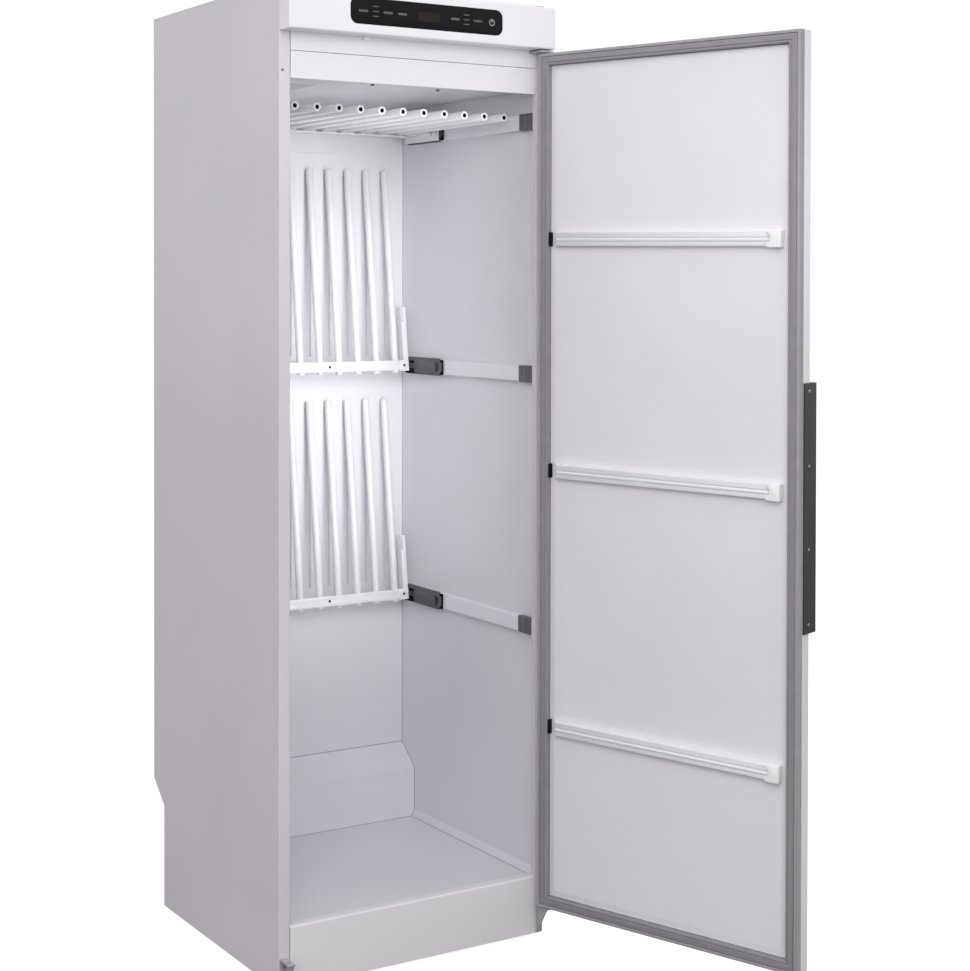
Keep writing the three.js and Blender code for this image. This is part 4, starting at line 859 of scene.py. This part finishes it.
def make_door_shell():
    pan = block("door_skin", (-HALF_WIDTH, DOOR_FRONT, DOOR_BOTTOM), (HALF_WIDTH, DOOR_BACK, DOOR_TOP))
    mesh = pan.data

    def is_front(edge):
        return all(mesh.vertices[i].co.y < DOOR_FRONT + 1 for i in edge.vertices)

    choose(pan, "EDGE", is_front)
    bpy.ops.mesh.bevel(offset=2.6, segments=4, affect="EDGES")
    done()
    sockets = [
        rod("socket", (HINGE.x, HINGE.y, z - 10), (HINGE.x, HINGE.y, z + 8), 4.3, 20)
        for z in (DOOR_BOTTOM, DOOR_TOP)
    ]
    cut(pan, *sockets)
    settle(pan, "door", WHITE, DOOR_PLACE, ["door_outer_pan"])

    rim, step = GASKET_WIDTH + 0.9, DOOR_BACK + 4
    bend = [
        (rim + FIELD_CURVE * i / 8, step + (FIELD_Y - step) * (1 - math.cos(math.pi * i / 8)) / 2)
        for i in range(9)
    ]
    profile = [(1.5, DOOR_BACK - 0.1), (rim - 0.1, DOOR_BACK - 0.1)] + bend
    panel = lofted("door_lining", 2 * HALF_WIDTH, DOOR_BOTTOM, DOOR_TOP, profile, ring=False)
    modify(panel, "SOLIDIFY", thickness=0.8, offset=-1)
    settle(panel, "door", DOOR_LINING, DOOR_PLACE, ["door_inner_panel"])

    seat, face = DOOR_BACK + GAP, -GAP
    bead = GASKET_WIDTH - 4
    profile = [(7.0, seat), (7.0, face - 1.8), (7.6, face - 0.5), (8.6, face)]
    profile += [(bead - 2.4, face), (bead - 1.2, face - 1.6), (bead - 0.2, face - 0.4), (bead + 1.2, face)]
    profile += [(GASKET_WIDTH - 1.6, face - 0.2), (GASKET_WIDTH - 0.4, face - 1.2), (GASKET_WIDTH, face - 3)]
    profile += [(GASKET_WIDTH, seat)]
    seal = lofted("door_seal", 2 * HALF_WIDTH, DOOR_BOTTOM, DOOR_TOP, profile, ring=True)
    settle(seal, "door", SEAL, DOOR_PLACE, ["door_gasket"], smooth=40)

    profile = [(GAP, seat), (GAP, face - 1.6), (GAP + 0.5, face - 0.5), (GAP + 1.5, face)]
    profile += [(5.4, face), (6.2, face - 0.6), (6.6, face - 2.0), (6.6, seat)]
    band = lofted("door_seal_band", 2 * HALF_WIDTH, DOOR_BOTTOM, DOOR_TOP, profile, ring=True)
    # the outer lip is painted lighter than the seal, as light falling on it
    settle(band, "door", SEAL_BAND_PAINTED_LIGHTER, DOOR_PLACE, smooth=40)


def make_hanger(level, height, tilt):
    """A three-ribbed hanging rail with its white end cap and black end clip."""
    start, end = HALF_WIDTH - 38, HALF_WIDTH - 536.4
    middle = Matrix.Translation((HALF_WIDTH - 295, 0, height))
    place = DOOR_PLACE @ middle @ Matrix.Rotation(math.radians(-tilt), 4, "Y") @ middle.inverted()
    line = [(-9.8, -14.2)] + arc((0.5, -11.2), 3, -90, 0, 6) + [(3.5, -6.6), (2.4, -5.9)]
    line += arc((1.5, -1.8), 4, -72, 66, 8) + [(0.6, 2.3), (1.6, 3.0), (3.5, 3.7)]
    line += arc((0.5, 12), 3, 0, 90, 6) + [(-9.8, 15)]
    rail = drawn(f"hanger_rail_{level}", [(start, y, height + z) for y, z in line], closed=True)
    pulled(rail, (end - start, 0, 0))
    edit(rail)
    bpy.ops.mesh.select_all(action="SELECT")
    bpy.ops.mesh.bisect(plane_co=(start, -9.8, height), plane_no=(1, 0.9, 0), use_fill=True, clear_outer=True)
    done()
    settle(rail, "door", HANGER_COAT, place, [f"door_hanger_{level}"], smooth=50)

    tip, notch, foot = HALF_WIDTH - 528, HALF_WIDTH - 537, HALF_WIDTH - 559
    outline = [
        (foot, -16.4), (notch, -16.4), (tip, -14.6), (notch + 3, -6), (notch, -5),
        (notch, 5), (notch + 3, 6), (tip, 14.6), (notch, 16.4), (foot, 16.4),
    ]
    cap = drawn(f"hanger_cap_{level}", [(x, -9.6, height + z) for x, z in outline], closed=True)
    pulled(cap, (0, 16.4, 0))
    soften(cap, 1.8, 3, 50)
    settle(cap, "door", CAP_WHITE, place, smooth=50)
    clip = block(
        f"hanger_clip_{level}", (HALF_WIDTH - 29.6, -16, height - 14), (HALF_WIDTH - 24.6, -4, height + 14),
    )
    soften(clip, 1.2, 2)
    settle(clip, "door", SLIDER_BLACK_AND_EDGE_SHADE, place)


def make_handle():
    edge, front, low, high = -HALF_WIDTH - GAP - 3, -63.0, 688.0, 1146.0
    line = [(edge, -17)]
    line += [(edge + 4 + u, front + 4 + v) for u, v in arc((0, 0), 4, 180, 270, 6)]
    line += [(edge + 22 + u, front + 3 + v) for u, v in arc((0, 0), 3, 270, 360, 5)]
    line += [(edge + 25, front + 7)]
    grip = drawn("handle_grip", [(x, y, low) for x, y in line])
    pulled(grip, (0, 0, high - low))
    modify(grip, "SOLIDIFY", thickness=3, offset=-1)
    soften(grip, 0.5, 2, 50)
    settle(grip, "door", HANDLE_DARK, DOOR_PLACE, ["door_handle"])
    heads = [screw_head("screw", (edge, -33, z), (-1, 0, 0), 3.4, 1.4) for z in (1131, 994, 841.5, 704)]
    settle(unite("handle_screws", *heads), "door", SCREW_STEEL, DOOR_PLACE)


# ---------------------------------------------------------------- feet, exhaust and inlet


def make_feet():
    foot = revolved(
        "foot",
        [(0.01, -10), (18.5, -10), (20, -8.5), (20, -6.5), (18.5, -5.5), (9, -2), (7, -GAP), (5, -GAP),
         (5, 14), (0.01, 14)],
        (0, 0, 0), steps=40,
    )
    for x, along in ((-250.5, "left"), (250.5, "right")):
        for y, row in ((45, "front"), (505, "rear")):
            name = f"{row}_{along}"
            settle(copied(foot, f"foot_{name}", (x, y, 0)), "cabinet", BLACK,
                   stands_for=[f"levelling_foot_{name}"], smooth=40)
    bpy.data.objects.remove(foot)


def make_exhaust():
    points = [
        (60.5, 1870), (62, 1870), (62, 1890.3), (77, 1890.3), (78, 1891.3), (77, 1892.3), (64, 1892.3),
        (62, 1894.3), (62, 1912), (63.2, 1914), (62, 1916), (62, 1927.4), (61.6, 1928), (60.9, 1928),
        (60.5, 1927.4), (60.5, 1916), (61.7, 1914), (60.5, 1912),
    ]
    collar = revolved("exhaust_spigot", points, (0, 430, 0), steps=72)
    settle(collar, "cabinet", ZINC, stands_for=["exhaust_collar"], smooth=40)
    points = [
        (5, -5.2), (10, -5.2), (10, GAP), (15, GAP), (15, 3.6), (14.2, 4.3), (10, 4.3), (9.6, 12), (8, 18),
        (5.4, 18), (5, 17.6),
    ]
    gland = revolved("inlet_gland", points, (200, 554, 120), "Y", 36)
    settle(gland, "cabinet", BLACK, stands_for=["cord_gland"], smooth=40)


def make_rear_screws():
    heads = []
    for side in (-1, 1):
        for z in (300, 620, 940, 1260, 1580, 1860):
            heads.append(screw_head("screw", (side * 289, DEPTH, z), (0, 1, 0), 3.4))
    for x in (-200, 0, 200):
        heads.append(screw_head("screw", (x, DEPTH, 1872), (0, 1, 0), 3.4))
    for x in (-70, 70):
        for y in (360, 500):
            heads.append(screw_head("screw", (x * 0.72, 430 + (y - 430) * 0.72, 1892.3), (0, 0, 1), 2.6))
    settle(unite("rear_screws", *heads), "cabinet", SCREW_STEEL)


# ---------------------------------------------------------------- studio


def make_studio():
    bpy.ops.object.select_all(action="DESELECT")
    bpy.ops.mesh.primitive_plane_add(size=30, location=(0, 0, -0.0005))
    floor = bpy.context.active_object
    floor.name = "studio_floor"
    pale = Nodes("studio floor", (0.2, 0.2, 0.2), 0.8, Emission_Color=(*FLOOR_GLOW, 1))
    tone = pale.ramp(pale.noise(1.5), [(0.3, (0.19, 0.19, 0.19)), (0.7, (0.21, 0.21, 0.21))])
    pale.link(tone, pale.shader.inputs["Base Color"])
    seen = pale.add("ShaderNodeLightPath").outputs["Is Camera Ray"]
    pale.link(seen, pale.shader.inputs["Emission Strength"])
    floor.data.materials.append(pale.material)

    world = bpy.data.worlds.new("studio")
    bpy.context.scene.world = world
    world.use_nodes = True
    light_sky(world.node_tree)

    def lamp(name, spot, aim, size, power, spread=180):
        data = bpy.data.lights.new(name, "AREA")
        data.shape, data.energy = "RECTANGLE", power
        data.size, data.size_y = size
        data.spread = math.radians(spread)
        light = bpy.data.objects.new(name, data)
        bpy.context.scene.collection.objects.link(light)
        light.location = spot
        light.visible_camera = False
        light.rotation_euler = (Vector(aim) - Vector(spot)).to_track_quat("-Z", "Y").to_euler()

    lamp("key", (-1.4, -2.6, 2.3), (0.0, 0.0, 1.4), (2.0, 1.5), 33)
    mouth, rods = PLACE @ Vector((60, -20, 1160)), PLACE @ Vector((-40, 230, 1400))
    lamp("chamber_fill", mouth, mouth + Vector((0, 1, 0)), (0.3, 1.0), 1.2, spread=85)
    lamp("ceiling_fill", rods, rods + Vector((0, 0, 1)), (0.36, 0.3), 0.23, spread=110)
    below = PLACE @ Vector((60, -950, 1320))
    lamp("lintel_fill", below, PLACE @ Vector((40, 0, 1790)), (0.8, 0.3), 0.2, spread=60)
    bpy.context.scene.view_settings.view_transform = "Standard"


def light_sky(tree):
    """An even white backdrop for the eye, and a room slightly brighter on the hinge side for the light."""
    sky = tree.nodes["Background"]
    sky.inputs["Color"].default_value = (1.0, 1.0, 1.0, 1)
    sky.inputs["Strength"].default_value = 1.02
    room = tree.nodes.new("ShaderNodeBackground")
    room.inputs["Strength"].default_value = 1.0
    place = tree.nodes.new("ShaderNodeTexCoord")
    axes = tree.nodes.new("ShaderNodeSeparateXYZ")
    tree.links.new(place.outputs["Generated"], axes.inputs["Vector"])
    tone = tree.nodes.new("ShaderNodeValToRGB")
    tone.color_ramp.elements[0].position, tone.color_ramp.elements[0].color = 0.25, (*SIDE_LIGHT, 1)
    tone.color_ramp.elements[1].position, tone.color_ramp.elements[1].color = 0.85, (*ROOM_LIGHT, 1)
    spread = tree.nodes.new("ShaderNodeMapRange")
    spread.inputs["From Min"].default_value = -1.0
    spread.inputs["From Max"].default_value = 1.0
    tree.links.new(axes.outputs["X"], spread.inputs["Value"])
    tree.links.new(spread.outputs["Result"], tone.inputs["Fac"])
    tree.links.new(tone.outputs["Color"], room.inputs["Color"])
    path = tree.nodes.new("ShaderNodeLightPath")
    mix = tree.nodes.new("ShaderNodeMixShader")
    tree.links.new(path.outputs["Is Camera Ray"], mix.inputs["Fac"])
    tree.links.new(room.outputs["Background"], mix.inputs[1])
    tree.links.new(sky.outputs["Background"], mix.inputs[2])
    tree.links.new(mix.outputs["Shader"], tree.nodes["World Output"].inputs["Surface"])


# ---------------------------------------------------------------- put together

make_camera()
dress_kept_nodes()
make_plinth()
make_fascia()
make_control_glass()
make_front_screws()
make_chamber_screws()
make_seams()
make_end_caps()
for level in LEVELS:
    carriage_body = "upper_rack" if level == "upper" else f"{level}_carriages"
    for side, sign in (("left", -1), ("right", 1)):
        make_carriage(level, side, sign, carriage_body)
    make_rack(level, f"{level}_rack")
make_door_shell()
for level, height, tilt in (("lower", 432.0, 0.5), ("middle", 948.0, 0.5), ("upper", 1412.0, 0.67)):
    make_hanger(level, height, tilt)
make_handle()
make_feet()
make_exhaust()
make_rear_screws()
make_studio()
